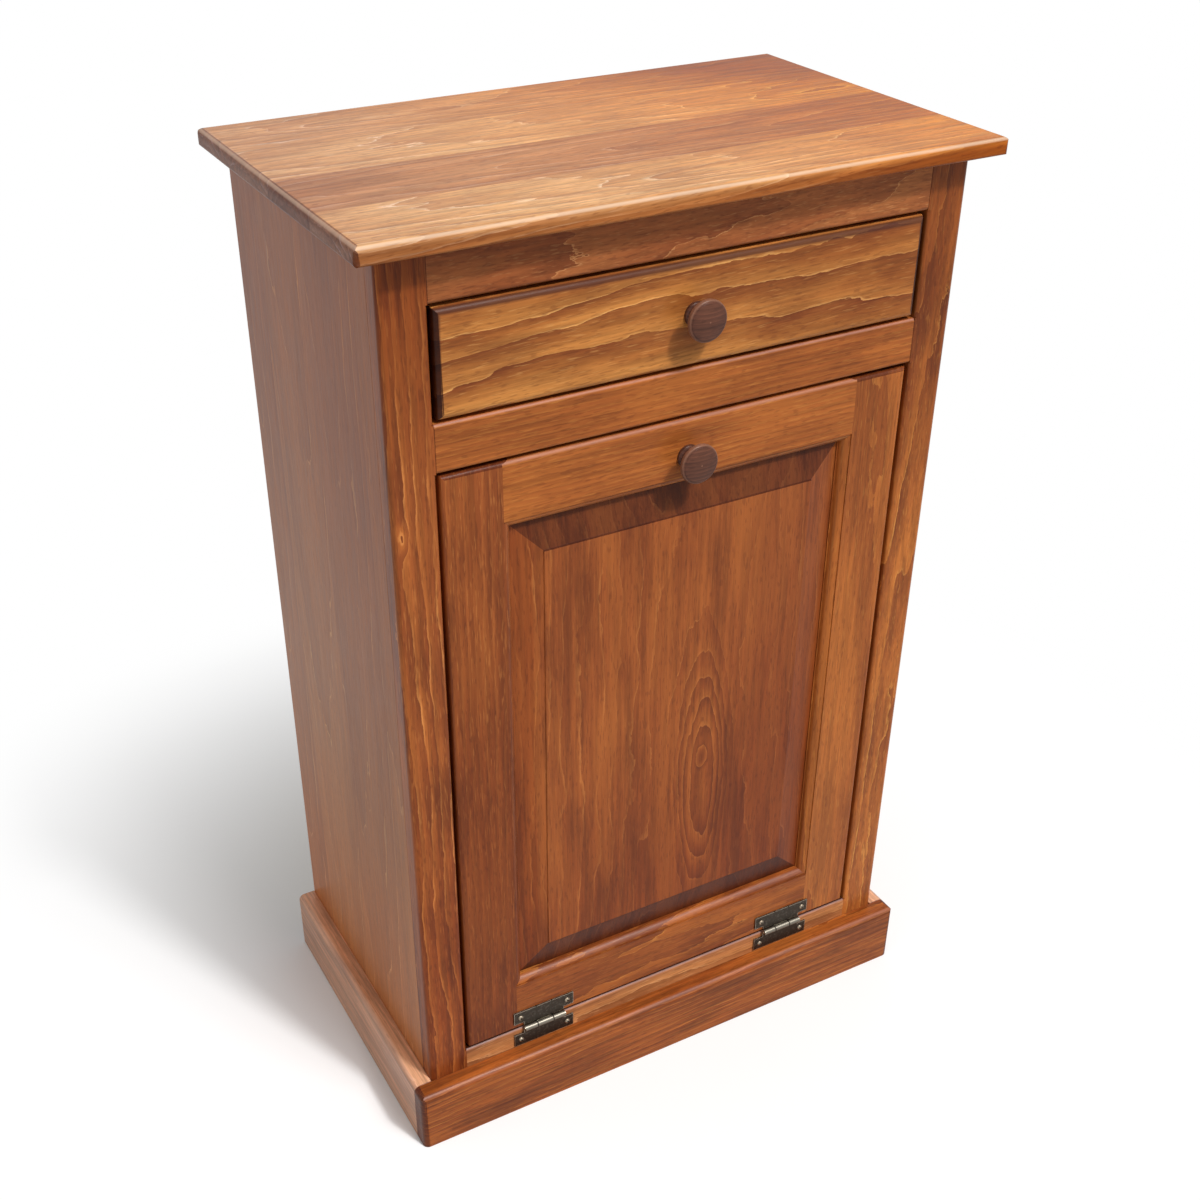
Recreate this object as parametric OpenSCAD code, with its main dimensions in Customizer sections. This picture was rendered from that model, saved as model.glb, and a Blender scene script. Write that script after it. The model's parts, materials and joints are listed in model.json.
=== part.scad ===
// Tilt-out bin cabinet with one drawer, in stained pine.
// The cabinet stands on the plane z = 0, its front looks to -Y, and the
// origin is the middle of its footprint box.

/* [Case] */
// Width of the case over its two side panels
case_w = 508; // [420:2:620]
// Depth of the case, face frame and back panel included
case_d = 302; // [270:2:380]
// Thickness of the side panels
side_t = 18; // [15:0.5:22]
// Thickness of the plywood back panel
back_t = 6; // [4:0.5:9]
// How far the back panel laps onto each side panel
back_lap = 8; // [5:0.5:11]
// Thickness of the case floor
floor_t = 12; // [9:0.5:15]
// Depth of the grooves that hold the floor in the side panels
floor_dado = 6; // [3:0.5:9]

/* [Top board] */
// Thickness of the top board
top_t = 14; // [12:0.5:25]
// Overhang of the top board past each side
top_side_over = 20.5; // [8:0.5:40]
// Overhang of the top board in front
top_front_over = 20; // [8:0.5:40]
// Overhang of the top board at the back
top_back_over = 10; // [0:0.5:20]
// Radius of the upper edges of the top board
top_edge_r = 6; // [3:0.5:7]
// Radius of the lower edges of the top board
top_under_r = 2.5; // [1:0.5:4]
// Radius of the corners of the top board seen from above
top_corner_r = 5; // [2:0.5:12]

/* [Face frame] */
// Thickness of the face frame
frame_t = 18; // [15:0.5:22]
// Width of the two frame stiles
stile_w = 37; // [34:0.5:60]
// Height of the top rail
top_rail_h = 41; // [32:0.5:60]
// Height of the rail between drawer and door
mid_rail_h = 39; // [36:0.5:60]
// Height of the rail under the door
low_rail_h = 38; // [34:0.5:50]
// Height of the drawer opening
drawer_open_h = 89.5; // [88:0.5:160]
// Height of the door opening
door_open_h = 594.5; // [480:0.5:700]
// Radius of the outer front edges of the stiles
stile_edge_r = 5; // [2:0.5:8]
// Radius of the edges round the two openings
opening_edge_r = 3; // [1:0.5:5]

/* [Base] */
// Height of the base boards
base_h = 66; // [56:0.5:100]
// Thickness of the base boards
base_t = 17.5; // [12:0.5:22]
// Radius of the outer edges of the base boards
base_edge_r = 6; // [3:0.5:9]
// Height of the low rail that shows above the base
low_rail_reveal = 22; // [21:0.5:30]
// Thickness of the stretcher under the back of the floor
stretcher_t = 18; // [12:0.5:22]
// Side of the square glue blocks inside the base
block_s = 25; // [18:1:32]

/* [Drawer] */
// Thickness of the drawer front
drawer_front_t = 18; // [15:0.5:22]
// How far the drawer front stands proud of the face frame
drawer_proud = 2; // [0:0.5:6]
// Radius of the front edges of the drawer front
drawer_edge_r = 6; // [3:0.5:8]
// Gap at the two ends of drawer front and door
end_gap = 3; // [1.5:0.1:4]
// Gap over the drawer front
drawer_top_gap = 3; // [1.5:0.1:4]
// Gap under the drawer front
drawer_low_gap = 2.5; // [1:0.1:4]
// Space between the drawer stops and the back panel
drawer_back_gap = 15.7; // [1:0.1:40]
// Thickness of the drawer sides and back
drawer_side_t = 12; // [9:0.5:15]
// Height of the drawer sides
drawer_side_h = 84; // [60:0.5:84]
// Thickness of the drawer bottom
drawer_bottom_t = 6; // [4:0.5:8]
// Height of the bottom groove over the lower edge of the sides
drawer_groove_z = 10; // [8:0.5:14]
// Depth of the bottom groove
drawer_groove_d = 6; // [3:0.5:7]

/* [Drawer guides] */
// Height of the runners that carry the drawer
runner_h = 20; // [14:1:26]
// How far the runners reach under the drawer sides
runner_reach = 17; // [12:1:26]
// Height of the side guides
guide_h = 30; // [18:1:40]
// Height of the kickers over the drawer sides
kicker_h = 18; // [12:1:20]
// Length of the drawer stops
drawer_stop_len = 18; // [10:1:25]
// Height of the drawer stops
drawer_stop_h = 16; // [10:1:25]
// Side of the square cleats that hold the top board
cleat_s = 18; // [14:1:20]

/* [Door] */
// Thickness of the door frame
door_t = 18; // [16:0.5:20]
// Gap over the door
door_top_gap = 3; // [1.5:0.1:4]
// Gap under the door
door_low_gap = 2.5; // [1.5:0.1:4]
// Flat width of the door stiles
door_stile_w = 50.5; // [44:0.5:70]
// Flat height of the upper door rail
door_top_rail_h = 50; // [48:0.5:70]
// Flat height of the lower door rail
door_low_rail_h = 53.5; // [46:0.5:80]
// Radius of the outer front edges of the door
door_edge_r = 4; // [2:0.5:6]
// Radius of the lower front edge of the door
door_low_edge_r = 1.5; // [0.5:0.5:3]
// Width of the moulded inner edge of the door frame
stick_w = 8; // [6:0.5:9]
// Radius of the quarter round in the moulded edge
stick_r = 7; // [4:0.5:7]
// Depth of the panel groove
panel_groove_d = 10; // [8:0.5:12]
// Width of the panel groove
panel_groove_w = 5; // [4:0.5:6]
// Depth of the front lip of the panel groove behind the door face
panel_lip_t = 9; // [8:0.5:10]

/* [Raised panel] */
// Width of the bevel round the raised field
bevel_w = 27.5; // [16:0.5:40]
// Depth of the field behind the door face
field_back = 2.8; // [1:0.1:4]
// Height of the step round the field
field_step = 1.2; // [0.5:0.1:2]
// Play of the panel edge in its groove
panel_play = 2; // [1:0.5:4]
// Play of the panel between the lips of its groove
panel_slack = 0.2; // [0.1:0.05:0.4]

/* [Knobs] */
// Diameter of the knob head
knob_d = 33.5; // [26:0.5:40]
// Length of the knob from the wood to its face
knob_len = 21; // [19:0.5:32]
// Diameter of the neck at its thinnest
knob_neck_d = 15; // [12:0.5:18]
// Diameter of the foot against the wood
knob_foot_d = 20; // [18:0.5:24]
// Thickness of the foot
knob_foot_t = 2; // [1:0.5:3]
// Height of the domed face
knob_dome_h = 2; // [1:0.1:3.5]
// Thickness of the rim
knob_rim_t = 5; // [3:0.5:6]
// How far the rim stands out past the cove under it
knob_rim_lip = 0.7; // [0.3:0.1:1.5]
// Distance of the door knob under the top of the door
door_knob_drop = 32; // [26:0.5:34]
// Diameter of the knob screws
knob_screw_d = 4; // [3:0.5:5]
// Depth of the screw hole in a knob
knob_hole_deep = 13; // [8:0.5:15]

/* [Hinges] */
// Length of the hinge leaves
leaf_len = 63; // [56:0.5:76]
// Height of the flat part of a leaf
leaf_h = 14; // [12:0.5:16]
// Thickness of the leaves
leaf_t = 1.5; // [1:0.1:2]
// Distance of the flat part of a leaf from the hinge axis
leaf_off = 7.2; // [6:0.1:7.6]
// Length of the barrel
barrel_len = 42.5; // [36:0.5:50]
// Diameter of the barrel
barrel_d = 6; // [5:0.1:6.4]
// Length of the middle knuckle
mid_knuckle = 16.4; // [12:0.2:20]
// Gap between two knuckles
knuckle_gap = 0.3; // [0.2:0.05:0.5]
// Distance of the hinge axis in front of the face frame
axis_out = 3.2; // [3.2:0.1:4]
// Gap between the barrel and the straight part of a leaf
barrel_clear = 0.4; // [0.2:0.1:1]
// Diameter of the hinge pins
pin_d = 2.5; // [2:0.1:3]
// How far the pins stand out of the barrel at each end
pin_proud = 0.6; // [0:0.1:1.5]
// Distance of the middle of a hinge from the flat part of the door stile
hinge_inset = 27.5; // [26.5:0.5:30]
// Distance between the two screws of a leaf
leaf_screw_spacing = 49.5; // [48:0.5:50.5]
// Diameter of the hinge screws
leaf_screw_d = 2.9; // [2.5:0.1:3.4]
// Diameter of the heads of the hinge screws
leaf_screw_head_d = 5.6; // [5:0.1:7]
// Height of the heads of the hinge screws
leaf_screw_head_h = 1.8; // [1.2:0.1:2.4]
// Length of the hinge screws under the head
leaf_screw_len = 13; // [8:0.5:15]
// Width of the cross recess in the hinge screws
cross_w = 0.8; // [0.5:0.1:1]
// Depth of the cross recess
cross_deep = 1.1; // [0.5:0.1:1.2]

/* [Bin carrier] */
// Thickness of the carrier boards
carrier_t = 12; // [9:0.5:14]
// Gap between the carrier and each frame stile
carrier_gap = 8; // [4:0.5:16]
// Space between the shut carrier and the back panel
carrier_back_gap = 21; // [16:0.5:40]
// Height of the carrier sides at the door
carrier_front_h = 400; // [360:1:430]
// Gap under the carrier, over the lower edge of the door
carrier_lift = 4; // [3:0.5:10]
// Height of the carrier floor over the lower edge of its sides
carrier_floor_z = 4; // [2:0.5:10]
// Depth of the grooves that hold the carrier floor
carrier_dado = 5; // [3:0.5:7]
// Radius of the lower back corners of the carrier sides
carrier_heel_r = 12; // [4:1:20]
// How far the slope of the sides stays off the door and off their back end
carrier_sweep = 60; // [30:1:90]
// Height of the low rail at the back of the carrier
carrier_rail_h = 60; // [40:1:90]
// Height of the stop rail at the back of the carrier
stop_rail_h = 50; // [40:1:70]
// How far the stop rail reaches behind the frame stiles
stop_rail_lap = 13; // [10:0.5:15]
// Angle at which the stop rail meets the frame stiles
tilt_stop = 35.2; // [34.8:0.1:38]
// Side of the square cleats between carrier and door
carrier_cleat_s = 18; // [12:1:24]

/* [Door stop and catch] */
// Length of the door stop behind the mid rail
door_stop_len = 300; // [160:2:400]
// Thickness of the door stop
door_stop_t = 14; // [10:0.5:18]
// How far the door stop hangs behind the door
door_stop_lap = 8; // [5:0.5:12]
// Length of the catch housing
catch_len = 46; // [34:1:60]
// Depth of the catch housing
catch_d = 14; // [10:0.5:18]
// Height of the catch housing
catch_h = 14; // [10:0.5:15]
// Thickness of the strike plate on the door
strike_t = 1.5; // [1:0.1:2]
// Margin of the strike plate inside the outline of the housing
strike_margin = 2; // [0:0.5:4]
// Radius of the corners of housing and plate
catch_r = 2; // [0.5:0.5:4]

/* [Screws in the case] */
// Diameter of the screws that hold the top board
case_screw_d = 4; // [3:0.5:5]
// How deep these screws go into the top board
case_screw_bite = 9; // [5:0.5:10]
// Distance of the outer screws from the middle
case_screw_x = 165; // [120:1:180]

/* [Fits] */
// Gap between the drawer sides and the runners
ride_gap = 0.3; // [0.2:0.05:0.5]
// Gap between a stop or magnet and the piece that meets it
stop_gap = 0.3; // [0.2:0.05:0.5]
// Radial play of pins and screws in their holes
hole_play = 0.05; // [0.03:0.01:0.08]

/* [Hidden] */

stained = "#8a4f2b";
natural = "#d3a873";
plywood = "#c8a878";
dark_wood = "#4f3128";
bronze = "#4b453c";
steel = "#a9a9a6";
nylon = "#e6e1d6";

// Extra length of a cutter past the face that it cuts
over = 1;
// Sides of a full circle
smooth = 64;
left = -1;
right = 1;

// Heights, from the floor up
low_rail_top = base_h + low_rail_reveal;
low_rail_z = low_rail_top - low_rail_h;
mid_rail_z = low_rail_top + door_open_h;
mid_rail_top = mid_rail_z + mid_rail_h;
top_rail_z = mid_rail_top + drawer_open_h;
case_top = top_rail_z + top_rail_h;
floor_z = base_h - floor_t;

// Widths, as half widths from the middle plane
case_x = case_w / 2;
inner_x = case_x - side_t;
open_x = case_x - stile_w;
leaf_x = open_x - end_gap;

// Depths, from the front face of the frame to the back
back_y = case_d - back_t;
knob_reach = drawer_proud + knob_len;
box_front = max(knob_reach, top_front_over, base_t);
box_back = case_d + top_back_over;
frame_y = -(box_back - box_front) / 2;

// Drawer
drawer_z = mid_rail_top + drawer_low_gap;
drawer_h = drawer_open_h - drawer_low_gap - drawer_top_gap;
drawer_box_z = mid_rail_top + ride_gap;
drawer_box_y = drawer_front_t - drawer_proud;
drawer_box_end = back_y - drawer_back_gap - drawer_stop_len - stop_gap;
drawer_bottom_z = drawer_box_z + drawer_groove_z;
drawer_knob_z = drawer_z + drawer_h / 2;

// Door and its hinge axis
door_z = low_rail_top + door_low_gap;
door_top = mid_rail_z - door_top_gap;
axis_z = low_rail_top + door_low_gap / 2;
outer_from = mid_knuckle / 2 + knuckle_gap;
outer_spans = [[-barrel_len / 2, -outer_from], [outer_from, barrel_len / 2]];
middle_span = [[-mid_knuckle / 2, mid_knuckle / 2]];
door_inner_x = leaf_x - door_stile_w;
hinge_x = door_inner_x - hinge_inset;
door_knob_z = door_top - door_knob_drop;
lip_x = door_inner_x - stick_w;
lip_low_z = door_z + door_low_rail_h + stick_w;
lip_top_z = door_top - door_top_rail_h - stick_w;

// Bin carrier; its stop rail meets the stiles at the stop angle
carrier_x = open_x - carrier_gap;
carrier_z = door_z + carrier_lift;
carrier_end = back_y - carrier_back_gap - carrier_t;
stop_arm = carrier_end + axis_out;
stop_rail_top = axis_z
    + (stop_arm * cos(tilt_stop) - frame_t - axis_out) / sin(tilt_stop);
carrier_floor_top = carrier_z + carrier_floor_z + carrier_t;
carrier_cleat_len = carrier_front_h - carrier_floor_top + carrier_z - carrier_cleat_s;

// Catch
door_stop_z = door_top - door_stop_lap;
catch_y = door_t + strike_t + stop_gap;

// Moves a shape drawn from the face frame into the cabinet
module from_frame() {
    translate([0, frame_y, 0]) children();
}

// Extrudes a Y-Z outline over a span of X
module along_x(x0, x1) {
    translate([x0, 0, 0]) rotate([90, 0, 90]) linear_extrude(x1 - x0) children();
}

// Extrudes an X-Z outline over a span of Y
module along_y(y0, y1) {
    translate([0, y1, 0]) rotate([90, 0, 0]) linear_extrude(y1 - y0) children();
}

// Extrudes an X-Y outline over a span of Z
module along_z(z0, z1) {
    translate([0, 0, z0]) linear_extrude(z1 - z0) children();
}

// Box between two corners
module block(low, high) {
    translate(low) cube(high - low);
}

// Mirrors a piece drawn on the right to the side that is asked for
module on_side(s) {
    scale_x = s < 0 ? 1 : 0;
    mirror([scale_x, 0, 0]) children();
}

// What a router takes off a corner at the origin, with the body at +x +y
module corner_cut(r) {
    difference() {
        translate([-over, -over]) square(r + over);
        translate([r, r]) circle(r, $fn = smooth);
    }
}

// Rectangle between two corners with a radius for each corner:
// low left, low right, top right, top left
module soft_rect(low, high, r) {
    difference() {
        translate(low) square(high - low);
        if (r[0] > 0) translate(low) corner_cut(r[0]);
        if (r[1] > 0) translate([high[0], low[1]]) mirror([1, 0]) corner_cut(r[1]);
        if (r[2] > 0) translate(high) rotate(180) corner_cut(r[2]);
        if (r[3] > 0) translate([low[0], high[1]]) mirror([0, 1]) corner_cut(r[3]);
    }
}

// Round hole or shank along Y
module rod_y(d, y0, y1) {
    translate([0, y1, 0]) rotate([90, 0, 0]) cylinder(h = y1 - y0, d = d, $fn = smooth);
}

// Round hole or shank along X
module rod_x(d, x0, x1) {
    translate([x0, 0, 0]) rotate([0, 90, 0]) cylinder(h = x1 - x0, d = d, $fn = smooth);
}

/* Case */

module top_board() {
    x = case_x + top_side_over;
    y0 = -top_front_over;
    y1 = case_d + top_back_over;
    edge = [top_under_r, top_under_r, top_edge_r, top_edge_r];
    plan = [top_corner_r, top_corner_r, top_corner_r, top_corner_r];
    z1 = case_top + top_t;
    color(stained) from_frame() difference() {
        intersection() {
            along_x(-x, x) soft_rect([y0, case_top], [y1, z1], edge);
            along_y(y0, y1) soft_rect([-x, case_top], [x, z1], edge);
            along_z(case_top, z1) soft_rect([-x, y0], [x, y1], plan);
        }
        top_screw_places() translate([0, 0, case_top - over])
            cylinder(h = case_screw_bite + over, d = case_screw_d + 2 * hole_play, $fn = smooth);
    }
}

module side_panel() {
    difference() {
        block([inner_x, frame_t, 0], [case_x, case_d, case_top]);
        block([inner_x - over, back_y, floor_z], [inner_x + back_lap, case_d + over, case_top + over]);
        block([inner_x - over, frame_t - over, floor_z], [inner_x + floor_dado, back_y + over, base_h]);
    }
}

module left_side() {
    color(stained) from_frame() on_side(left) side_panel();
}

module right_side() {
    color(stained) from_frame() on_side(right) side_panel();
}

module back_panel() {
    x = inner_x + back_lap;
    color(plywood) from_frame() block([-x, back_y, floor_z], [x, case_d, case_top]);
}

module floor_panel() {
    x = inner_x + floor_dado;
    color(plywood) from_frame() block([-x, frame_t, floor_z], [x, back_y, base_h]);
}

module back_stretcher() {
    color(natural) from_frame() block([-inner_x, case_d - stretcher_t, 0], [inner_x, case_d, floor_z]);
}

module glue_blocks() {
    color(natural) from_frame() for (s = [left, right], y = [frame_t, case_d - stretcher_t - block_s])
        on_side(s) block([inner_x - block_s, y, 0], [inner_x, y + block_s, floor_z]);
}

// One top cleat, from its front face back
module top_cleat(y) {
    color(natural) from_frame() difference() {
        block([-inner_x, y, case_top - cleat_s], [inner_x, y + cleat_s, case_top]);
        top_screw_places() translate([0, 0, case_top - cleat_s - over])
            cylinder(h = cleat_s + 2 * over, d = case_screw_d + 2 * hole_play, $fn = smooth);
    }
}

module front_top_cleat() {
    top_cleat(frame_t);
}

module back_top_cleat() {
    top_cleat(back_y - cleat_s);
}

// Three screws through each top cleat
module top_screw_places() {
    for (x = [-case_screw_x, 0, case_screw_x], y = [frame_t + cleat_s / 2, back_y - cleat_s / 2])
        translate([x, y, 0]) children();
}

module top_screws() {
    head_h = case_screw_d * 0.6;
    color(steel) from_frame() top_screw_places() {
        translate([0, 0, case_top - cleat_s - head_h])
            cylinder(h = head_h, d = case_screw_d * 2, $fn = smooth);
        translate([0, 0, case_top - cleat_s - head_h])
            cylinder(h = head_h + cleat_s + case_screw_bite - stop_gap, d = case_screw_d, $fn = smooth);
    }
}

/* Face frame */

// Cuts the edge round of one opening from the frame, between its two heights
module opening_round(z0, z1) {
    r = opening_edge_r;
    for (s = [left, right]) on_side(s)
        translate([open_x, 0, 0]) along_z(z0, z1) corner_cut(r);
    along_x(-open_x, open_x) translate([0, z1]) corner_cut(r);
    along_x(-open_x, open_x) translate([0, z0]) mirror([0, 1]) corner_cut(r);
}

module opening_rounds() {
    opening_round(low_rail_top, mid_rail_z);
    opening_round(mid_rail_top, top_rail_z);
}

module frame_stile() {
    difference() {
        along_z(0, case_top)
            soft_rect([open_x, 0], [case_x, frame_t], [0, stile_edge_r, 0, 0]);
        opening_rounds();
    }
}

module left_stile() {
    color(stained) from_frame() on_side(left) frame_stile();
}

module right_stile() {
    color(stained) from_frame() on_side(right) frame_stile();
}

module frame_rail(z0, z1) {
    difference() {
        block([-open_x, 0, z0], [open_x, frame_t, z1]);
        opening_rounds();
    }
}

module top_rail() {
    color(stained) from_frame() frame_rail(top_rail_z, case_top);
}

module mid_rail() {
    color(stained) from_frame() frame_rail(mid_rail_z, mid_rail_top);
}

module low_rail() {
    color(stained) from_frame() difference() {
        frame_rail(low_rail_z, low_rail_top);
        leaf_screw_places(-1) rod_y(leaf_screw_d + 2 * hole_play, -over, leaf_screw_len);
    }
}

/* Base */

module base_front() {
    x = case_x + base_t;
    r = base_edge_r;
    color(stained) from_frame() intersection() {
        along_x(-x, x) soft_rect([-base_t, 0], [0, base_h], [0, 0, 0, r]);
        along_y(-base_t, 0) soft_rect([-x, 0], [x, base_h], [0, 0, r, r]);
        along_z(0, base_h) soft_rect([-x, -base_t], [x, 0], [r, r, 0, 0]);
    }
}

module base_side() {
    along_y(0, case_d)
        soft_rect([case_x, 0], [case_x + base_t, base_h], [0, 0, base_edge_r, 0]);
}

module base_left() {
    color(stained) from_frame() on_side(left) base_side();
}

module base_right() {
    color(stained) from_frame() on_side(right) base_side();
}

/* Drawer guides */

module runner() {
    block([open_x - runner_reach, frame_t, mid_rail_top - runner_h], [inner_x, back_y, mid_rail_top]);
}

module left_runner() {
    color(natural) from_frame() on_side(left) runner();
}

module right_runner() {
    color(natural) from_frame() on_side(right) runner();
}

module guide() {
    block([open_x, frame_t, mid_rail_top], [inner_x, back_y, mid_rail_top + guide_h]);
}

module left_guide() {
    color(natural) from_frame() on_side(left) guide();
}

module right_guide() {
    color(natural) from_frame() on_side(right) guide();
}

module kicker() {
    block([open_x - runner_reach, frame_t, top_rail_z], [inner_x, back_y, top_rail_z + kicker_h]);
}

module left_kicker() {
    color(natural) from_frame() on_side(left) kicker();
}

module right_kicker() {
    color(natural) from_frame() on_side(right) kicker();
}

module drawer_stops() {
    y = drawer_box_end + stop_gap;
    color(natural) from_frame() for (s = [left, right]) on_side(s)
        block([open_x - runner_reach, y, mid_rail_top],
            [open_x, y + drawer_stop_len, mid_rail_top + drawer_stop_h]);
}

/* Door stop and catch */

module door_stop() {
    color(natural) from_frame()
        block([-door_stop_len / 2, frame_t, door_stop_z], [door_stop_len / 2, frame_t + door_stop_t, mid_rail_top]);
}

module catch_housing() {
    r = catch_r;
    color(nylon) from_frame() along_y(catch_y, catch_y + catch_d)
        soft_rect([-catch_len / 2, door_stop_z - catch_h], [catch_len / 2, door_stop_z], [r, r, 0, 0]);
}

module strike_plate() {
    r = catch_r;
    m = strike_margin;
    x = catch_len / 2 - m;
    color(steel) from_frame() along_y(door_t, door_t + strike_t)
        soft_rect([-x, door_stop_z - catch_h + m], [x, door_stop_z - m], [r, r, r, r]);
}

/* Hinges */

// Both leaf screws of both hinges, on the leaf under or over the axis
module leaf_screw_places(up) {
    z = axis_z + up * (leaf_off + leaf_h / 2);
    for (x = [-hinge_x, hinge_x], e = [-1, 1])
        translate([x + e * leaf_screw_spacing / 2, 0, z]) children();
}

// One leaf, drawn upward from the hinge axis, with the knuckles in spans
module leaf(x, up, spans) {
    tab_low = barrel_d / 2 + barrel_clear;
    translate([x, 0, axis_z]) mirror([0, 0, up < 0 ? 1 : 0]) difference() {
        union() {
            along_y(-leaf_t, 0) {
                translate([-leaf_len / 2, leaf_off]) square([leaf_len, leaf_h]);
                translate([-barrel_len / 2, tab_low]) square([barrel_len, leaf_off - tab_low + over]);
                for (s = spans) translate([s[0], 0]) square([s[1] - s[0], leaf_off]);
            }
            for (s = spans) translate([0, -axis_out, 0]) rod_x(barrel_d, s[0], s[1]);
        }
        translate([0, -axis_out, 0]) rod_x(pin_d + 2 * hole_play, -barrel_len, barrel_len);
        for (e = [-1, 1]) translate([e * leaf_screw_spacing / 2, 0, leaf_off + leaf_h / 2])
            rod_y(leaf_screw_d + 2 * hole_play, -leaf_t - over, over);
    }
}

module left_hinge_lower_leaf() {
    color(bronze) from_frame() leaf(-hinge_x, -1, outer_spans);
}

module right_hinge_lower_leaf() {
    color(bronze) from_frame() leaf(hinge_x, -1, outer_spans);
}

module left_hinge_upper_leaf() {
    color(bronze) from_frame() leaf(-hinge_x, 1, middle_span);
}

module right_hinge_upper_leaf() {
    color(bronze) from_frame() leaf(hinge_x, 1, middle_span);
}

module hinge_pin(x) {
    reach = barrel_len / 2 + pin_proud;
    translate([x, -axis_out, axis_z]) rod_x(pin_d, -reach, reach);
}

module left_hinge_pin() {
    color(bronze) from_frame() hinge_pin(-hinge_x);
}

module right_hinge_pin() {
    color(bronze) from_frame() hinge_pin(hinge_x);
}

// Screw with a domed, cross recessed head that seats on a leaf and bites into the wood
module leaf_screw() {
    r = leaf_screw_head_d / 2;
    h = leaf_screw_head_h;
    dome_r = (r * r + h * h) / (2 * h);
    arm = 0.6 * r;
    difference() {
        union() {
            rod_y(leaf_screw_d, -leaf_t, leaf_screw_len - leaf_t - stop_gap);
            translate([0, -leaf_t, 0]) rotate([90, 0, 0]) rotate_extrude($fn = smooth) intersection() {
                square([r, h]);
                translate([0, h - dome_r]) circle(dome_r, $fn = smooth);
            }
        }
        translate([0, -leaf_t - h, 0]) {
            cube([2 * arm, 2 * cross_deep, cross_w], center = true);
            cube([cross_w, 2 * cross_deep, 2 * arm], center = true);
        }
    }
}

module frame_hinge_screws() {
    color(bronze) from_frame() leaf_screw_places(-1) leaf_screw();
}

module door_hinge_screws() {
    color(bronze) from_frame() leaf_screw_places(1) leaf_screw();
}

/* Knobs */

// Half outline of a knob: radius along x, distance from the wood along y
module knob_outline() {
    r = knob_d / 2;
    neck_r = knob_neck_d / 2;
    under = knob_len - knob_dome_h - knob_rim_t;
    cove_z = knob_foot_t + (under - knob_foot_t) * 0.4;
    cove_x = r - knob_rim_lip;
    reach = cove_x - neck_r;
    rise = under - cove_z;
    cove_r = (reach * reach + rise * rise) / (2 * reach);
    dome_r = (r * r + knob_dome_h * knob_dome_h) / (2 * knob_dome_h);
    rim_r = knob_rim_t * 0.4;
    square([knob_foot_d / 2, knob_foot_t]);
    difference() {
        union() {
            square([knob_foot_d / 2, cove_z + over]);
            translate([0, cove_z]) square([cove_x, under - cove_z]);
        }
        translate([neck_r + cove_r, cove_z]) circle(cove_r, $fn = smooth);
    }
    soft_rect([-r, under], [r, under + knob_rim_t], [rim_r, rim_r, rim_r, rim_r]);
    intersection() {
        translate([0, knob_len - dome_r]) circle(dome_r, $fn = 2 * smooth);
        translate([0, under + knob_rim_t - over]) square([r - rim_r, knob_dome_h + over]);
    }
}

// Knob on the wood face at depth y, at height z
module knob(y, z) {
    translate([0, y, z]) rotate([90, 0, 0]) difference() {
        rotate_extrude($fn = smooth) intersection() {
            knob_outline();
            square([knob_d, knob_len + over]);
        }
        translate([0, 0, -over])
            cylinder(h = knob_hole_deep + over, d = knob_screw_d + 2 * hole_play, $fn = smooth);
    }
}

// Screw from the back face of the wood into the knob
module knob_screw(front, back, z) {
    head_h = knob_screw_d * 0.6;
    translate([0, 0, z]) {
        rod_y(knob_screw_d, front - knob_hole_deep + stop_gap, back + head_h / 2);
        rod_y(knob_screw_d * 2, back, back + head_h);
    }
}

module drawer_knob() {
    color(dark_wood) from_frame() knob(-drawer_proud, drawer_knob_z);
}

module drawer_knob_screw() {
    color(steel) from_frame() knob_screw(-drawer_proud, drawer_box_y, drawer_knob_z);
}

module door_knob() {
    color(dark_wood) from_frame() knob(0, door_knob_z);
}

module door_knob_screw() {
    color(steel) from_frame() knob_screw(0, door_t, door_knob_z);
}

/* Drawer */

module drawer_bottom_groove() {
    x = leaf_x - drawer_side_t + drawer_groove_d;
    block([-x, drawer_box_y - drawer_groove_d, drawer_bottom_z],
        [x, drawer_box_end + over, drawer_bottom_z + drawer_bottom_t]);
}

module drawer_front() {
    r = drawer_edge_r;
    y1 = drawer_box_y;
    color(stained) from_frame() difference() {
        intersection() {
            along_x(-leaf_x, leaf_x)
                soft_rect([-drawer_proud, drawer_z], [y1, drawer_z + drawer_h], [r, 0, 0, r]);
            along_z(drawer_z, drawer_z + drawer_h)
                soft_rect([-leaf_x, -drawer_proud], [leaf_x, y1], [r, r, 0, 0]);
        }
        drawer_bottom_groove();
        translate([0, 0, drawer_knob_z])
            rod_y(knob_screw_d + 2 * hole_play, -drawer_proud - over, y1 + over);
    }
}

module drawer_side() {
    difference() {
        block([leaf_x - drawer_side_t, drawer_box_y, drawer_box_z],
            [leaf_x, drawer_box_end, drawer_box_z + drawer_side_h]);
        drawer_bottom_groove();
    }
}

module drawer_left_side() {
    color(natural) from_frame() on_side(left) drawer_side();
}

module drawer_right_side() {
    color(natural) from_frame() on_side(right) drawer_side();
}

module drawer_back() {
    x = leaf_x - drawer_side_t;
    color(natural) from_frame()
        block([-x, drawer_box_end - drawer_side_t, drawer_bottom_z + drawer_bottom_t],
            [x, drawer_box_end, drawer_box_z + drawer_side_h]);
}

module drawer_bottom() {
    x = leaf_x - drawer_side_t + drawer_groove_d;
    color(plywood) from_frame()
        block([-x, drawer_box_y - drawer_groove_d, drawer_bottom_z],
            [x, drawer_box_end, drawer_bottom_z + drawer_bottom_t]);
}

/* Door */

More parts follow.
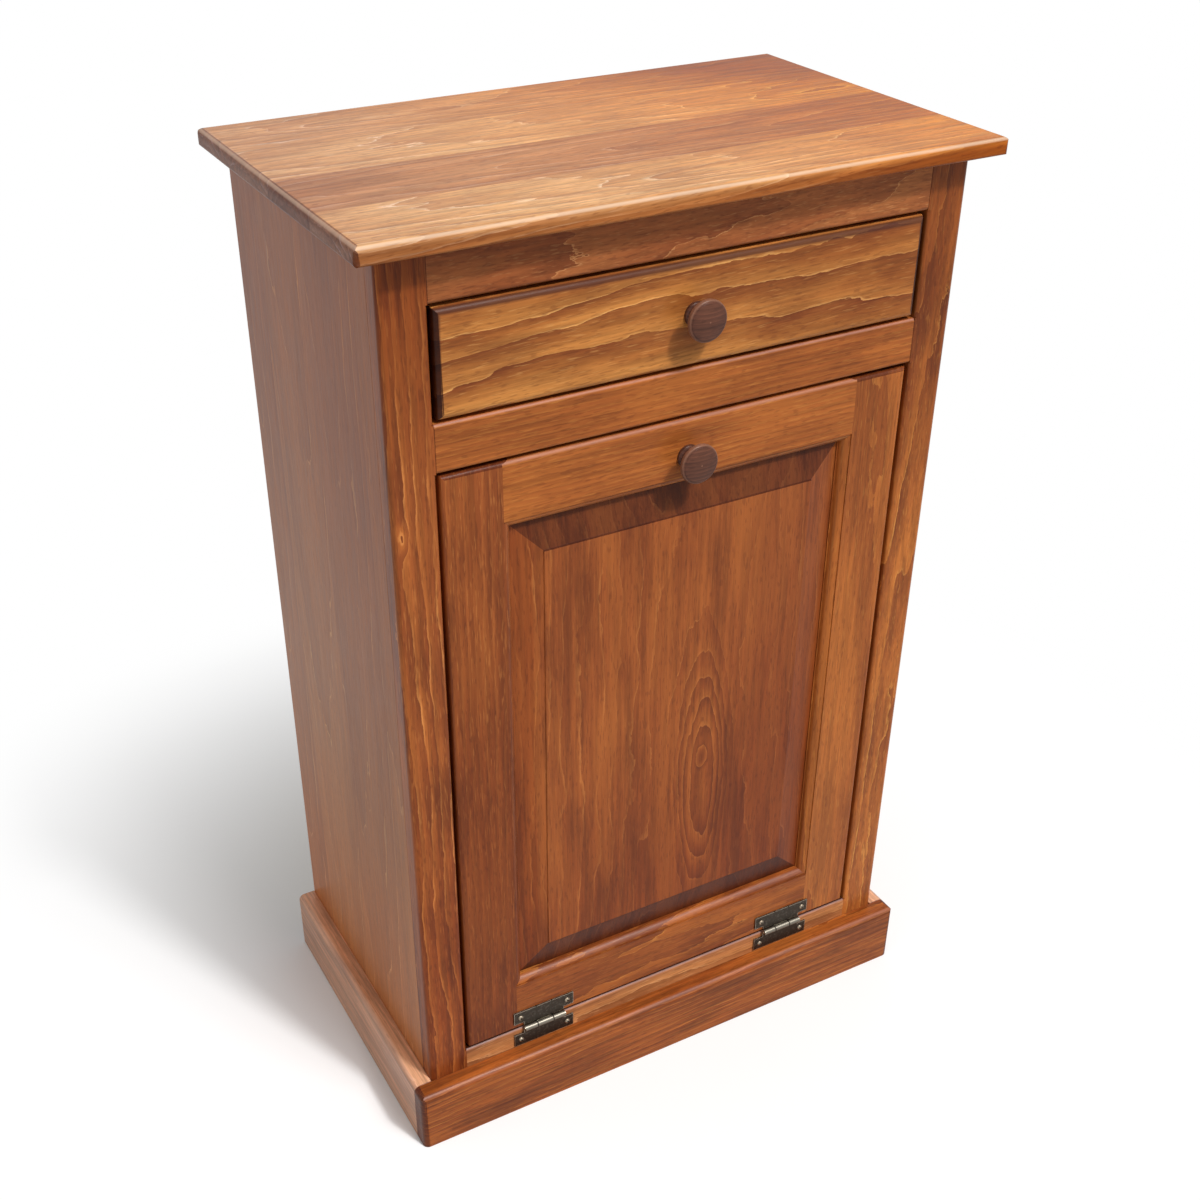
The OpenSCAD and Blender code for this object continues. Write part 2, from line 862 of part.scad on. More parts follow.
// Section of a door frame member: x from the flat edge inward, y from the face back
module stick_outline(flat_w, outer_r) {
    step = stick_w - stick_r;
    difference() {
        union() {
            soft_rect([-flat_w, 0], [0, door_t], [outer_r, 0, 0, 0]);
            translate([-over, panel_lip_t - step]) square([stick_w + over, door_t - panel_lip_t + step]);
            intersection() {
                translate([-over, step]) square([stick_w, panel_lip_t - step]);
                translate([0, step + stick_r]) circle(stick_r, $fn = smooth);
            }
        }
        translate([stick_w - panel_groove_d, panel_lip_t])
            square([panel_groove_d + over, panel_groove_w]);
    }
}

// Front edge rounds at the top and the foot of the door
module door_ends() {
    along_x(-leaf_x, leaf_x)
        soft_rect([0, door_z], [door_t, door_top], [door_low_edge_r, 0, 0, door_edge_r]);
}

module door_stile() {
    difference() {
        intersection() {
            along_z(door_z, door_top)
                translate([door_inner_x, 0]) mirror([1, 0]) stick_outline(door_stile_w, door_edge_r);
            door_ends();
        }
        leaf_screw_places(1) rod_y(leaf_screw_d + 2 * hole_play, -over, leaf_screw_len);
    }
}

// Stile sections that the rail ends are coped over
module stile_copes() {
    for (s = [left, right]) on_side(s) along_z(door_z - over, door_top + over)
        translate([door_inner_x, 0]) mirror([1, 0]) stick_outline(door_stile_w, 0);
}

module door_left_stile() {
    color(stained) from_frame() on_side(left) door_stile();
}

module door_right_stile() {
    color(stained) from_frame() on_side(right) door_stile();
}

// Rail between the door stiles, with stub tenons in their grooves
module door_rail(z, flat_h, up) {
    x = door_inner_x + panel_groove_d - stick_w - stop_gap;
    difference() {
        intersection() {
            along_x(-x, x) translate([0, z]) mirror([0, up < 0 ? 1 : 0])
                rotate(90) mirror([0, 1]) stick_outline(flat_h, 0);
            door_ends();
        }
        stile_copes();
    }
}

module door_top_rail() {
    color(stained) from_frame() difference() {
        door_rail(door_top - door_top_rail_h, door_top_rail_h, -1);
        translate([0, 0, door_knob_z]) rod_y(knob_screw_d + 2 * hole_play, -over, door_t + over);
    }
}

module door_low_rail() {
    color(stained) from_frame() difference() {
        door_rail(door_z + door_low_rail_h, door_low_rail_h, 1);
        leaf_screw_places(1) rod_y(leaf_screw_d + 2 * hole_play, -over, leaf_screw_len);
    }
}

// Section of the raised panel over one span, from its lip on each side
module raised_outline(lip0, lip1) {
    back = panel_lip_t + panel_groove_w - panel_slack;
    tongue = panel_groove_d - panel_play;
    top = field_back + field_step;
    edge = panel_lip_t + panel_slack;
    tip = edge + (edge - top) / bevel_w * tongue;
    polygon([
        [lip0 - tongue, back], [lip0 - tongue, tip], [lip0 + bevel_w, top],
        [lip0 + bevel_w, field_back], [lip1 - bevel_w, field_back],
        [lip1 - bevel_w, top], [lip1 + tongue, tip], [lip1 + tongue, back]
    ]);
}

module door_panel() {
    reach = panel_groove_d;
    color(stained) from_frame() intersection() {
        along_z(lip_low_z - reach, lip_top_z + reach) raised_outline(-lip_x, lip_x);
        along_x(-lip_x - reach, lip_x + reach) mirror([1, -1]) raised_outline(lip_low_z, lip_top_z);
    }
}

/* Bin carrier */

// Side board: tall at the door, swept down to the stop rail at the back
module carrier_side() {
    z0 = carrier_z;
    z1 = carrier_z + carrier_front_h;
    difference() {
        along_x(carrier_x - carrier_t, carrier_x) difference() {
            polygon([
                [door_t, z0], [carrier_end, z0], [carrier_end, stop_rail_top],
                [carrier_end - carrier_sweep, stop_rail_top], [door_t + carrier_sweep, z1], [door_t, z1]
            ]);
            translate([carrier_end, z0]) mirror([1, 0]) corner_cut(carrier_heel_r);
        }
        block([carrier_x - carrier_t - over, door_t - over, carrier_z + carrier_floor_z],
            [carrier_x - carrier_t + carrier_dado, carrier_end - carrier_t, carrier_floor_top]);
    }
}

module carrier_left_side() {
    color(natural) from_frame() on_side(left) carrier_side();
}

module carrier_right_side() {
    color(natural) from_frame() on_side(right) carrier_side();
}

module carrier_floor() {
    x = carrier_x - carrier_t + carrier_dado;
    color(plywood) from_frame()
        block([-x, door_t, carrier_z + carrier_floor_z], [x, carrier_end - carrier_t, carrier_floor_top]);
}

module carrier_low_rail() {
    x = carrier_x - carrier_t;
    color(natural) from_frame()
        block([-x, carrier_end - carrier_t, carrier_floor_top], [x, carrier_end, carrier_floor_top + carrier_rail_h]);
}

module carrier_stop_rail() {
    x = open_x + stop_rail_lap;
    color(natural) from_frame()
        block([-x, carrier_end, stop_rail_top - stop_rail_h], [x, carrier_end + carrier_t, stop_rail_top]);
}

module carrier_cleats() {
    x = carrier_x - carrier_t;
    color(natural) from_frame() for (s = [left, right]) on_side(s)
        block([x - carrier_cleat_s, door_t, carrier_floor_top],
            [x, door_t + carrier_cleat_s, carrier_floor_top + carrier_cleat_len]);
}

top_board();
left_side();
right_side();
back_panel();
floor_panel();
left_stile();
right_stile();
top_rail();
mid_rail();
low_rail();
base_front();
base_left();
base_right();
back_stretcher();
glue_blocks();
front_top_cleat();
back_top_cleat();
top_screws();
left_runner();
right_runner();
left_guide();
right_guide();
left_kicker();
right_kicker();
drawer_stops();
door_stop();
catch_housing();
left_hinge_lower_leaf();
right_hinge_lower_leaf();
left_hinge_pin();
right_hinge_pin();
frame_hinge_screws();
drawer_front();
drawer_left_side();
drawer_right_side();
drawer_back();
drawer_bottom();
drawer_knob();
drawer_knob_screw();
door_left_stile();
door_right_stile();
door_top_rail();
door_low_rail();
door_panel();
door_knob();
door_knob_screw();
left_hinge_upper_leaf();
right_hinge_upper_leaf();
door_hinge_screws();
strike_plate();
carrier_left_side();
carrier_right_side();
carrier_floor();
carrier_low_rail();
carrier_stop_rail();
carrier_cleats();
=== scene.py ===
# %% [markdown]
# # A tilt-out bin cabinet in stained pine
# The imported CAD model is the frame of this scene: its solids carry the sizes and the
# joints. This lesson dresses them: eased edges, figured wood, turned knobs, aged brass.

# %% Load the frame
import json
from math import radians

import bmesh
import bpy
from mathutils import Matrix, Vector


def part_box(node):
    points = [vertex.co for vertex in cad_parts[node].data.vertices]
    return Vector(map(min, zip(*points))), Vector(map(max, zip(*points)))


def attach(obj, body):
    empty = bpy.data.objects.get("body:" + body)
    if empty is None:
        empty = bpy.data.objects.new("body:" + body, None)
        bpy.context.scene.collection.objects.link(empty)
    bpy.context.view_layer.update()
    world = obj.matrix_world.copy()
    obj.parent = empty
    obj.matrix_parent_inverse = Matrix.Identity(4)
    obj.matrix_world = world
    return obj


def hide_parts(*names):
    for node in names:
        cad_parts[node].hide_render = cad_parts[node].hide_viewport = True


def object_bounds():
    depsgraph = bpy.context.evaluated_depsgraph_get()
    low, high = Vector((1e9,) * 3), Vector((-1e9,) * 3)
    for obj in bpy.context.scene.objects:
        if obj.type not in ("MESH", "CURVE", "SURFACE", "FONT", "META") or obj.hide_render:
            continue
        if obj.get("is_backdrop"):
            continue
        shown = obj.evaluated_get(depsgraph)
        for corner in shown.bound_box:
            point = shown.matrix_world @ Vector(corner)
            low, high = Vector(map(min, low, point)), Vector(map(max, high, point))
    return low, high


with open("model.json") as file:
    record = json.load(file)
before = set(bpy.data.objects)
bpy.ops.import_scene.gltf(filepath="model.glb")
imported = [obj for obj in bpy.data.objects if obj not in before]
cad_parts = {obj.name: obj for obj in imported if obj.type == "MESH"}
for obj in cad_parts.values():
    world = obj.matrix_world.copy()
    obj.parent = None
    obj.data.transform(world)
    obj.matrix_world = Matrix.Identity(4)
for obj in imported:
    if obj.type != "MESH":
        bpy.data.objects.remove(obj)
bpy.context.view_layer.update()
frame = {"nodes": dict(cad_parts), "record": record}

NODES = frame["nodes"]
BODY_OF = {n: b for b, ns in frame["record"]["behaviour"]["bodies"].items() for n in ns}
MM = 0.001

# %% [markdown]
# ## Small helpers
# Colours are written as sRGB hex values, as a paint chart gives them, and one function
# turns them into the linear numbers that Blender's sockets take. Another adds a node to
# a shader or geometry tree with its settings and its links, so every tree below reads
# as a list of steps. A third starts a material with an empty tree.

# %% Helpers for colours and nodes
MATH, VECTOR, RANGE = "ShaderNodeMath", "ShaderNodeVectorMath", "ShaderNodeMapRange"
MIX, XYZ = "ShaderNodeMix", "ShaderNodeCombineXYZ"
COLOURS = {"data_type": "RGBA"}
TINT = {"data_type": "RGBA", "blend_type": "MULTIPLY"}


def hex_linear(code):
    parts = [int(code[i : i + 2], 16) / 255 for i in (1, 3, 5)]
    linear = [c / 12.92 if c <= 0.04045 else ((c + 0.055) / 1.055) ** 2.4 for c in parts]
    return (*linear, 1.0)


def is_link(value):
    return isinstance(value, tuple) and len(value) == 2 and isinstance(value[0], bpy.types.Node)


def add_node(tree, kind, settings=None, **inputs):
    """Adds a node. Inputs go by name or i and number, and (node, socket) makes a link."""
    node = tree.nodes.new(kind)
    if isinstance(settings, str):  # a word alone is the operation
        settings = {"operation": settings}
    for name, value in (settings or {}).items():
        setattr(node, name, value)
    for name, value in inputs.items():
        key = int(name[1:]) if name[0] == "i" and name[1:].isdigit() else name.replace("_", " ")
        for one in value if isinstance(value, list) and is_link(value[0]) else [value]:
            if is_link(one):
                tree.links.new(one[0].outputs[one[1]], node.inputs[key])
            else:
                node.inputs[key].default_value = one
    return node


def empty_material(name):
    material = bpy.data.materials.new(name)
    material.use_nodes = True
    material.node_tree.nodes.clear()
    return material, material.node_tree


# %% [markdown]
# ## Camera
# The photograph looks down on the left front corner. A camera fitted to its straight
# edges gives the place, the direction and the lens. The small shift stands for the part
# of the picture that was cropped away.

# %% Camera
scene = bpy.context.scene
CAMERA_PLACE = Vector((-626.0, -1099.4, 1199.8)) * MM
CAMERA_LOOK = Vector((0.4025, 0.7350, -0.5457))

camera_data = bpy.data.cameras.new("camera")
camera_data.lens = 47.48
camera_data.shift_x = 0.0218
camera_data.shift_y = 0.0461
camera = bpy.data.objects.new("camera", camera_data)
camera.location = CAMERA_PLACE
camera.rotation_euler = CAMERA_LOOK.to_track_quat("-Z", "Y").to_euler()
scene.collection.objects.link(camera)
scene.camera = camera
print("camera at", [round(v, 3) for v in camera.location])

# %% [markdown]
# ## Light, floor and background
# The sun stands high in front, a little to the right, and throws the shadow to the back
# and to the left. Nearly half of its light comes from the bright haze round it, which
# softens the shadows of the knobs and of the top. A soft fill from the left and a pale
# sky lighten the shaded side. The sky and the floor are white where the camera or a gloss
# looks at them. The floor is a mid grey where it only throws light back at the cabinet,
# and its own white grows with the distance, so the shadow fades out.

# %% Light and sky
scene.view_settings.view_transform = "Standard"
TO_SUN = Vector((0.215, -0.56, 0.80))
LAMPS = {  # the direction it comes from, strength and breadth in degrees
    "sun": (TO_SUN, 1.5, 5.0),
    "haze": (TO_SUN, 1.4, 20.0),
    "fill": (Vector((-0.9, -0.2, 0.35)), 0.42, 80.0),
}
SKY_STRENGTH = 0.36

for name, (comes_from, strength, breadth) in LAMPS.items():
    lamp_data = bpy.data.lights.new(name, "SUN")
    lamp_data.energy = strength
    lamp_data.angle = radians(breadth)
    lamp = bpy.data.objects.new(name, lamp_data)
    lamp.rotation_euler = comes_from.to_track_quat("Z", "Y").to_euler()
    scene.collection.objects.link(lamp)


def seen_straight(tree):
    """1 for rays that show the surface: from the camera, a gloss or a glass."""
    path = add_node(tree, "ShaderNodeLightPath")
    gloss = add_node(tree, MATH, "MAXIMUM",
                     i0=(path, "Is Camera Ray"), i1=(path, "Is Glossy Ray"))
    return add_node(tree, MATH, "MAXIMUM", i0=(gloss, 0), i1=(path, "Is Transmission Ray"))


world = bpy.data.worlds.new("pale_sky")
world.use_nodes = True
world.node_tree.nodes.clear()
seen = seen_straight(world.node_tree)
level = add_node(world.node_tree, RANGE, i0=(seen, 0), i3=SKY_STRENGTH, i4=1.0)
sky = add_node(world.node_tree, "ShaderNodeBackground", Strength=(level, 0),
               Color=(1.0, 1.0, 1.0, 1.0))
add_node(world.node_tree, "ShaderNodeOutputWorld", Surface=(sky, 0))
scene.world = world

# %% Floor
FLOOR_REACH, FLOOR_SUNK = 30.0, 0.0003  # in metres, as the two distances of the fade
FADE_FROM, FADE_TO = 0.26, 0.88
FLOOR_SEEN, FLOOR_BOUNCE = 0.95, 0.42

side, deep = FLOOR_REACH, -FLOOR_SUNK
floor_mesh = bpy.data.meshes.new("floor")
floor_mesh.from_pydata([(-side, -side, deep), (side, -side, deep), (side, side, deep),
                        (-side, side, deep)], [], [(0, 1, 2, 3)])
floor = bpy.data.objects.new("floor", floor_mesh)
scene.collection.objects.link(floor)
floor_paint, tree = empty_material("white_studio_floor")
seen = seen_straight(tree)
tone = add_node(tree, RANGE, i0=(seen, 0), i3=FLOOR_BOUNCE, i4=FLOOR_SEEN)
matt = add_node(tree, "ShaderNodeBsdfDiffuse", Color=(tone, 0))
white = add_node(tree, "ShaderNodeEmission", Color=(1.0, 1.0, 1.0, 1.0), Strength=1.0)
where = add_node(tree, "ShaderNodeTexCoord")
away = add_node(tree, VECTOR, "LENGTH", i0=(where, "Object"))
fade = add_node(tree, RANGE, {"interpolation_type": "SMOOTHSTEP"},
                i0=(away, "Value"), i1=FADE_FROM, i2=FADE_TO)
fade_seen = add_node(tree, MATH, "MULTIPLY", i0=(fade, 0), i1=(seen, 0))
ground = add_node(tree, "ShaderNodeMixShader", i0=(fade_seen, 0), i1=(matt, 0), i2=(white, 0))
add_node(tree, "ShaderNodeOutputMaterial", Surface=(ground, 0))
floor_mesh.materials.append(floor_paint)
floor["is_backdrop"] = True
print("floor and sky ready")

# %% [markdown]
# ## Stained pine
# The case is pine: planed, sanded, wiped with a brown stain and varnished. Pine is a
# softwood with wide growth rings. Each ring starts with soft early wood, which drinks the
# stain, and ends with hard late wood, which stays pale. Under a brown stain a ring shows
# a thin pale line, then gold, then brown up to the next line. A board cut across the
# rings shows stripes, and a board cut along them shows pointed arches. The ends of the
# fibres drink most stain, so end grain and crosscut bevels turn dark. Sanding thins the
# stain on rounded edges, and those edges also get a painted sheen; some boards get
# painted shade as well.
#
# The pattern is solid: rings round a pith line that runs along the board, bent by noise.
# The pith leans a little, which makes the arches. All lengths are in millimetres. Each
# cell below makes one step of it, and the last puts the steps together.

# %% Places and noise along the grain
NO_TURN = (0.0, 0.0, 0.0)
GRAIN_TURN = {"X": (0.0, -90.0, 0.0), "Y": (90.0, 0.0, 0.0), "Z": NO_TURN}
TO_MM = (1 / MM, 1 / MM, 1 / MM)
NOISE_MIDDLE = (0.5, 0.5, 0.5)


def grain_noise(tree, place, across, along, detail=3.0, rough=0.55):
    """Noise with patches of those sizes in mm, across and along the grain."""
    shape = add_node(tree, VECTOR, "MULTIPLY", i0=place, i1=(1 / across, 1 / across, 1 / along))
    return add_node(tree, "ShaderNodeTexNoise", Vector=(shape, 0), Scale=1.0,
                    Detail=detail, Roughness=rough)


def bent_by(tree, place, noise, amount):
    """The place, moved by the noise, by up to half the amount in mm each way."""
    middle = add_node(tree, VECTOR, "SUBTRACT", i0=(noise, "Color"), i1=NOISE_MIDDLE)
    push = add_node(tree, VECTOR, "SCALE", i0=(middle, 0), Scale=amount)
    return add_node(tree, VECTOR, "ADD", i0=place, i1=(push, 0))


def from_point(tree, point, turn):
    """Object coordinates in mm from a point of the cabinet, with Z along the grain."""
    where = add_node(tree, "ShaderNodeTexCoord")
    spot = add_node(tree, VECTOR, "MULTIPLY_ADD",
                    i0=(where, "Object"), i1=TO_MM, i2=[-c for c in point])
    return add_node(tree, "ShaderNodeMapping", i0=(spot, 0), Rotation=turn)


# %% [markdown]
# ### What sets one board apart from another
# Cut, stain and varnish differ from board to board. This table names all that a wood can
# change, with the usual values, so each board below lists only what it has of its own.

# %% The usual wood
USUAL_WOOD = {
    "period": 7.0,  # width of a year ring
    "lean": (0.0, 0.0),  # by how many degrees the pith leans away from the board
    "stave": None,  # glued-up boards: axis across the staves, width, seed, darkest tone
    "humps": (),  # middle, half breadth, half length and height of humps in the rings
    "wave": 12.0,  # reach of the slow bends of the rings
    "ragged": 1.5,  # reach of the quick bends
    "figure": 0.9,  # contrast between gold and brown
    "line": 0.8,  # strength of the pale year line
    "fibres": 0.2,  # contrast of the fibres
    "blotch": 0.4,  # how unevenly the stain soaked in
    "cloud": (42.0, 120.0),  # size of the blotches, across and along the grain
    "flecks": 0.3,  # strength of the dark resin strokes
    "dashes": 0.3,  # strength of the pale dashes
    "stain_and_painted_shade": (),  # darker towards a point: thicker stain on some boards, painted shade and sheen on others; from a point, to a point, and the tone there
    "end_dark": 0.85,  # how far end grain takes its own tone
    "end_tone": "#9c8590",
    "rub": 0.3,  # how much rounded upper edges along the grain take the edge tone: stain sanded thin, with painted sheen, and on the drawer front painted shade
    "rub_ends": 0.0,  # the same for edges across the grain
    "edge_light_and_wear_tone": "#e8cbb0",  # tone of such an edge: pale for sanded stain and painted sheen, dark for painted shade
    "edge_light_and_wear_from": (0.25, 0.65),  # how far up it faces where that starts and is full
    "gloss": 0.34,  # roughness of the varnish
    "varnish": 0.15,  # how strongly the varnish mirrors
}
print("values that a wood can change:", len(USUAL_WOOD))

# %% [markdown]
# ### Staves
# A wide board is glued up from staves, and each is cut round a pith of its own. The
# number of a stave draws where that pith lies and how dark the stave is, so the figure
# breaks off at the glue line.

# %% Staves of a glued-up board
PITH_JUMP = (60.0, 60.0, 900.0)


def split_in_staves(tree, look, grain):
    """The grain from the pith of its own stave, and the number drawn for the stave."""
    axis, width, seed, _ = look["stave"]
    parts = add_node(tree, "ShaderNodeSeparateXYZ", i0=(grain, 0))
    count = add_node(tree, MATH, "DIVIDE", i0=(parts, axis), i1=width)
    number = add_node(tree, MATH, "FLOOR", i0=(count, 0))
    middle = add_node(tree, MATH, "MULTIPLY_ADD", i0=(number, 0), i1=-width, i2=-width / 2)
    back = add_node(tree, XYZ, **{axis: (middle, 0)})
    seeded = add_node(tree, MATH, "ADD", i0=(number, 0), i1=seed)
    draw = add_node(tree, "ShaderNodeTexWhiteNoise", {"noise_dimensions": "1D"}, W=(seeded, 0))
    jump = add_node(tree, VECTOR, "MULTIPLY_ADD",
                    i0=(draw, "Color"), i1=PITH_JUMP, i2=[-j / 2 for j in PITH_JUMP])
    own = add_node(tree, VECTOR, "ADD", i0=(back, 0), i1=(jump, 0))
    split = add_node(tree, VECTOR, "ADD", i0=(grain, 0), i1=(own, 0))
    return split, draw


# %% [markdown]
# ### Year rings
# The distance from the pith counts the years. A slow bend stands for the sway of the
# trunk, and a quick one frays the rings. Near a branch the rings bulge, and a board cut
# through such a hump shows closed ovals, clearer than the rest.

# %% Distance from the pith
SLOW_BEND, QUICK_BEND = (55.0, 260.0), (7.0, 20.0)
HUMP_RIM, HUMP_HEART, HUMP_CLEAR = 0.95, 0.4, 0.75


def ring_distance(tree, look, place):
    """How far it is to the pith, how clear the rings are there, and the way outward."""
    slow = grain_noise(tree, place, *SLOW_BEND)
    quick = grain_noise(tree, place, *QUICK_BEND)
    soft = bent_by(tree, place, slow, look["wave"] * 2)
    edge = bent_by(tree, (soft, 0), quick, look["ragged"] * 2)
    flat = add_node(tree, VECTOR, "MULTIPLY", i0=(edge, 0), i1=(1.0, 1.0, 0.0))
    radius = add_node(tree, VECTOR, "LENGTH", i0=(flat, 0))
    outward = add_node(tree, VECTOR, "NORMALIZE", i0=(flat, 0))
    reach, clear = (radius, "Value"), 0.0
    for point, across, length, height in look["humps"]:
        near = from_point(tree, point, look["turn"])
        swung = bent_by(tree, (near, 0), slow, look["wave"])
        bent = bent_by(tree, (swung, 0), quick, look["ragged"] * 3)
        oval = add_node(tree, VECTOR, "MULTIPLY",
                        i0=(bent, 0), i1=(1 / across, 1 / across, 1 / length))
        far = add_node(tree, VECTOR, "LENGTH", i0=(oval, 0))
        hump = add_node(tree, RANGE, {"interpolation_type": "SMOOTHERSTEP"},
                        i0=(far, "Value"), i3=height, i4=0.0)
        raised = add_node(tree, MATH, "ADD", i0=reach, i1=(hump, 0))
        inside = add_node(tree, RANGE, i0=(far, "Value"), i1=HUMP_RIM,
                          i2=HUMP_HEART, i4=HUMP_CLEAR)
        clearer = add_node(tree, MATH, "MAXIMUM", i0=(inside, 0), i1=clear)
        reach, clear = (raised, 0), (clearer, 0)
    return reach, clear, outward


# %% [markdown]
# ### The colours of a year
# Early wood takes the stain as gold, and the year darkens towards its end. Some years
# are strong and some are faint, and in the middle of a hump all are strong.

# %% Gold to brown within a year
GOLD_UNTIL, BROWN_AT, FAINT_YEAR = 0.25, 0.6, 0.3


def year_colours(tree, look, reach, clear):
    """The colour between two year lines, and how much of the year has passed."""
    rings = add_node(tree, MATH, "DIVIDE", i0=reach, i1=look["period"])
    year = add_node(tree, MATH, "FLOOR", i0=(rings, 0))
    season = add_node(tree, MATH, "FRACT", i0=(rings, 0))
    ramp = add_node(tree, "ShaderNodeValToRGB", Fac=(season, 0))
    stops = [(0.0, look["gold"]), (GOLD_UNTIL, look["gold"]), (BROWN_AT, look["brown"]),
             (1.0, look["dark"])]
    while len(ramp.color_ramp.elements) < len(stops):
        ramp.color_ramp.elements.new(0.5)
    for element, (spot, colour) in zip(ramp.color_ramp.elements, stops):
        element.position = spot
        element.color = colour
    luck = add_node(tree, "ShaderNodeTexWhiteNoise", {"noise_dimensions": "1D"}, W=(year, 0))
    strong = add_node(tree, RANGE, i0=(luck, 0), i3=FAINT_YEAR * look["figure"], i4=look["figure"])
    strongest = add_node(tree, MATH, "MAXIMUM", i0=(strong, 0), i1=clear)
    toned = add_node(tree, MIX, COLOURS, i0=(strongest, 0), i6=look["brown"], i7=(ramp, 0))
    return toned, season


# %% [markdown]
# ### The pale line
# The hard line that ends a year is about 0.3 mm wide, and is drawn wider to show at all.
# Where the surface runs level with the rings, it would spread to a patch. The slope
# between both keeps it thin, so an arch ends in a fine outline. The line shows here and
# there, and always on a hump.

# %% Pale line at the end of a year
LINE_FULL, LINE_GONE, SLOPE_LEAST = 0.6, 1.8, 0.2
LINE_PATCH, PATCH_FROM, PATCH_FULL, LINE_FAINT = (18.0, 60.0), 0.42, 0.62, 0.12


def pale_line(tree, look, place, season, clear, outward, along_grain):
    """How much of the pale line shows at a place."""
    level = add_node(tree, VECTOR, "DOT_PRODUCT", i0=(outward, 0), i1=(along_grain, 0))
    lost = add_node(tree, MATH, "MULTIPLY", i0=(level, "Value"), i1=(level, "Value"))
    kept = add_node(tree, MATH, "SUBTRACT", i0=1.0, i1=(lost, 0))
    slope = add_node(tree, MATH, "SQRT", i0=(kept, 0))
    humped = add_node(tree, MATH, "MAXIMUM", i0=(slope, 0), i1=clear)
    steep = add_node(tree, MATH, "MAXIMUM", i0=(humped, 0), i1=SLOPE_LEAST)
    past = add_node(tree, MATH, "DIVIDE", i0=(season, 0), i1=(steep, 0))
    thin_line = add_node(tree, RANGE, i0=(past, 0),
                         i1=LINE_GONE / look["period"], i2=LINE_FULL / look["period"])
    patchy = grain_noise(tree, place, *LINE_PATCH, detail=1.0)
    shown = add_node(tree, RANGE, i0=(patchy, 0), i1=PATCH_FROM,
                     i2=PATCH_FULL, i3=LINE_FAINT * look["line"], i4=look["line"])
    on_hump = add_node(tree, MATH, "MULTIPLY", i0=clear, i1=look["line"])
    surer = add_node(tree, MATH, "MAXIMUM", i0=(shown, 0), i1=(on_hump, 0))
    return add_node(tree, MATH, "MULTIPLY", i0=(thin_line, 0), i1=(surer, 0))


# %% [markdown]
# ### Fibres, blotches and strokes
# Fibres are a few hundredths of a mm wide, and are drawn 1.6 mm wide to show at all. The
# stain soaks in unevenly and leaves broad golden and dark places. Resin ducts are 0.2 mm
# wide, and are drawn wider, as short dark strokes. Hard fibres that the plane lifted
# stay pale, as short dashes.

# %% Fibres, blotches and strokes
FIBRE, BUNDLE, DUCT, LIFTED = (1.6, 60.0), (4.0, 120.0), (1.3, 9.0), (1.2, 16.0)
FIBRES_LOW, FIBRES_HIGH = 0.78, 1.22
# The level of the noise where a mark starts and where it is full
GOLDEN_PLACE, DARK_PLACE, STROKE, DASH = (0.52, 0.32), (0.48, 0.70), (0.62, 0.72), (0.60, 0.72)


def fine_figure(tree, look, place, colour):
    """The colour with these marks, and the fibres themselves."""
    fibre = grain_noise(tree, place, *FIBRE, rough=0.7)
    bundle = grain_noise(tree, place, *BUNDLE, detail=1.0)
    both = add_node(tree, MATH, "ADD", i0=(fibre, 0), i1=(bundle, 0))
    streak = add_node(tree, RANGE, i0=(both, 0), i1=FIBRES_LOW, i2=FIBRES_HIGH,
                      i3=1 - look["fibres"], i4=1 + look["fibres"])
    fibred = add_node(tree, MIX, TINT, i0=1.0, i6=colour, i7=(streak, 0))
    colour = (fibred, 2)
    soaked = grain_noise(tree, place, *look["cloud"], detail=4.0)
    ducts = grain_noise(tree, place, *DUCT, detail=0.0)
    lifted = grain_noise(tree, place, *LIFTED, detail=1.0)
    for noise, (start, full), strength, tone in [
        (soaked, GOLDEN_PLACE, look["blotch"], look["gold"]),
        (soaked, DARK_PLACE, look["blotch"], look["patch"]),
        (ducts, STROKE, look["flecks"], look["patch"]),
        (lifted, DASH, look["dashes"], look["pale"]),
    ]:
        share = add_node(tree, RANGE, i0=(noise, 0), i1=start, i2=full, i4=strength)
        marked = add_node(tree, MIX, COLOURS, i0=(share, 0), i6=colour, i7=tone)
        colour = (marked, 2)
    return colour, fibre


# %% [markdown]
# ### Stain and painted shade from stave to stave and from end to end
# One stave took more stain than the next, and the cloth left it thicker towards one end
# of a board. Each shade grows along the walk from its first point to its second. On
# some boards a shade is painted light instead: painted shadow under the top, painted
# shade on faces and in gaps that get less light, and a painted sheen on the top.

# %% Wiped stain and painted shade
def wiped_stain_and_shade(tree, look, colour, draw):
    if draw:
        matched = add_node(tree, MIX, TINT,
                           i0=(draw, 0), i6=colour, i7=hex_linear(look["stave"][3]))
        colour = (matched, 2)
    # Each shade darkens towards its second point: thicker stain on some boards, painted shade or
    # sheen on others
    for start, end, darker in look["stain_and_painted_shade"]:
        start, end = Vector(start), Vector(end)
        walk = (end - start) / (end - start).length_squared
        spot = from_point(tree, start, NO_TURN)
        share = add_node(tree, VECTOR, "DOT_PRODUCT", i0=(spot, 0), i1=walk)
        darkening = add_node(tree, RANGE, {"interpolation_type": "SMOOTHSTEP"}, i0=(share, "Value"))
        darkened = add_node(tree, MIX, TINT, i0=(darkening, 0), i6=colour, i7=hex_linear(darker))
        colour = (darkened, 2)
    return colour


# %% [markdown]
# ### End grain, and painted light on rounded edges
# A surface that faces along the grain is end grain, which drinks most stain. Rounded
# upper edges face neither sideways nor straight up. There the stain is sanded thin, and
# the edge tone adds a painted sheen of the sky, pale on most boards; on the drawer front
# it is dark, as painted shade.

# %% End grain and painted light on rounded edges
END_FROM, END_FULL = 0.07, 0.22
LEVEL_FROM, LEVEL_GONE = 0.97, 0.85
CROSSCUT, LENGTHWISE = 0.30, 0.12


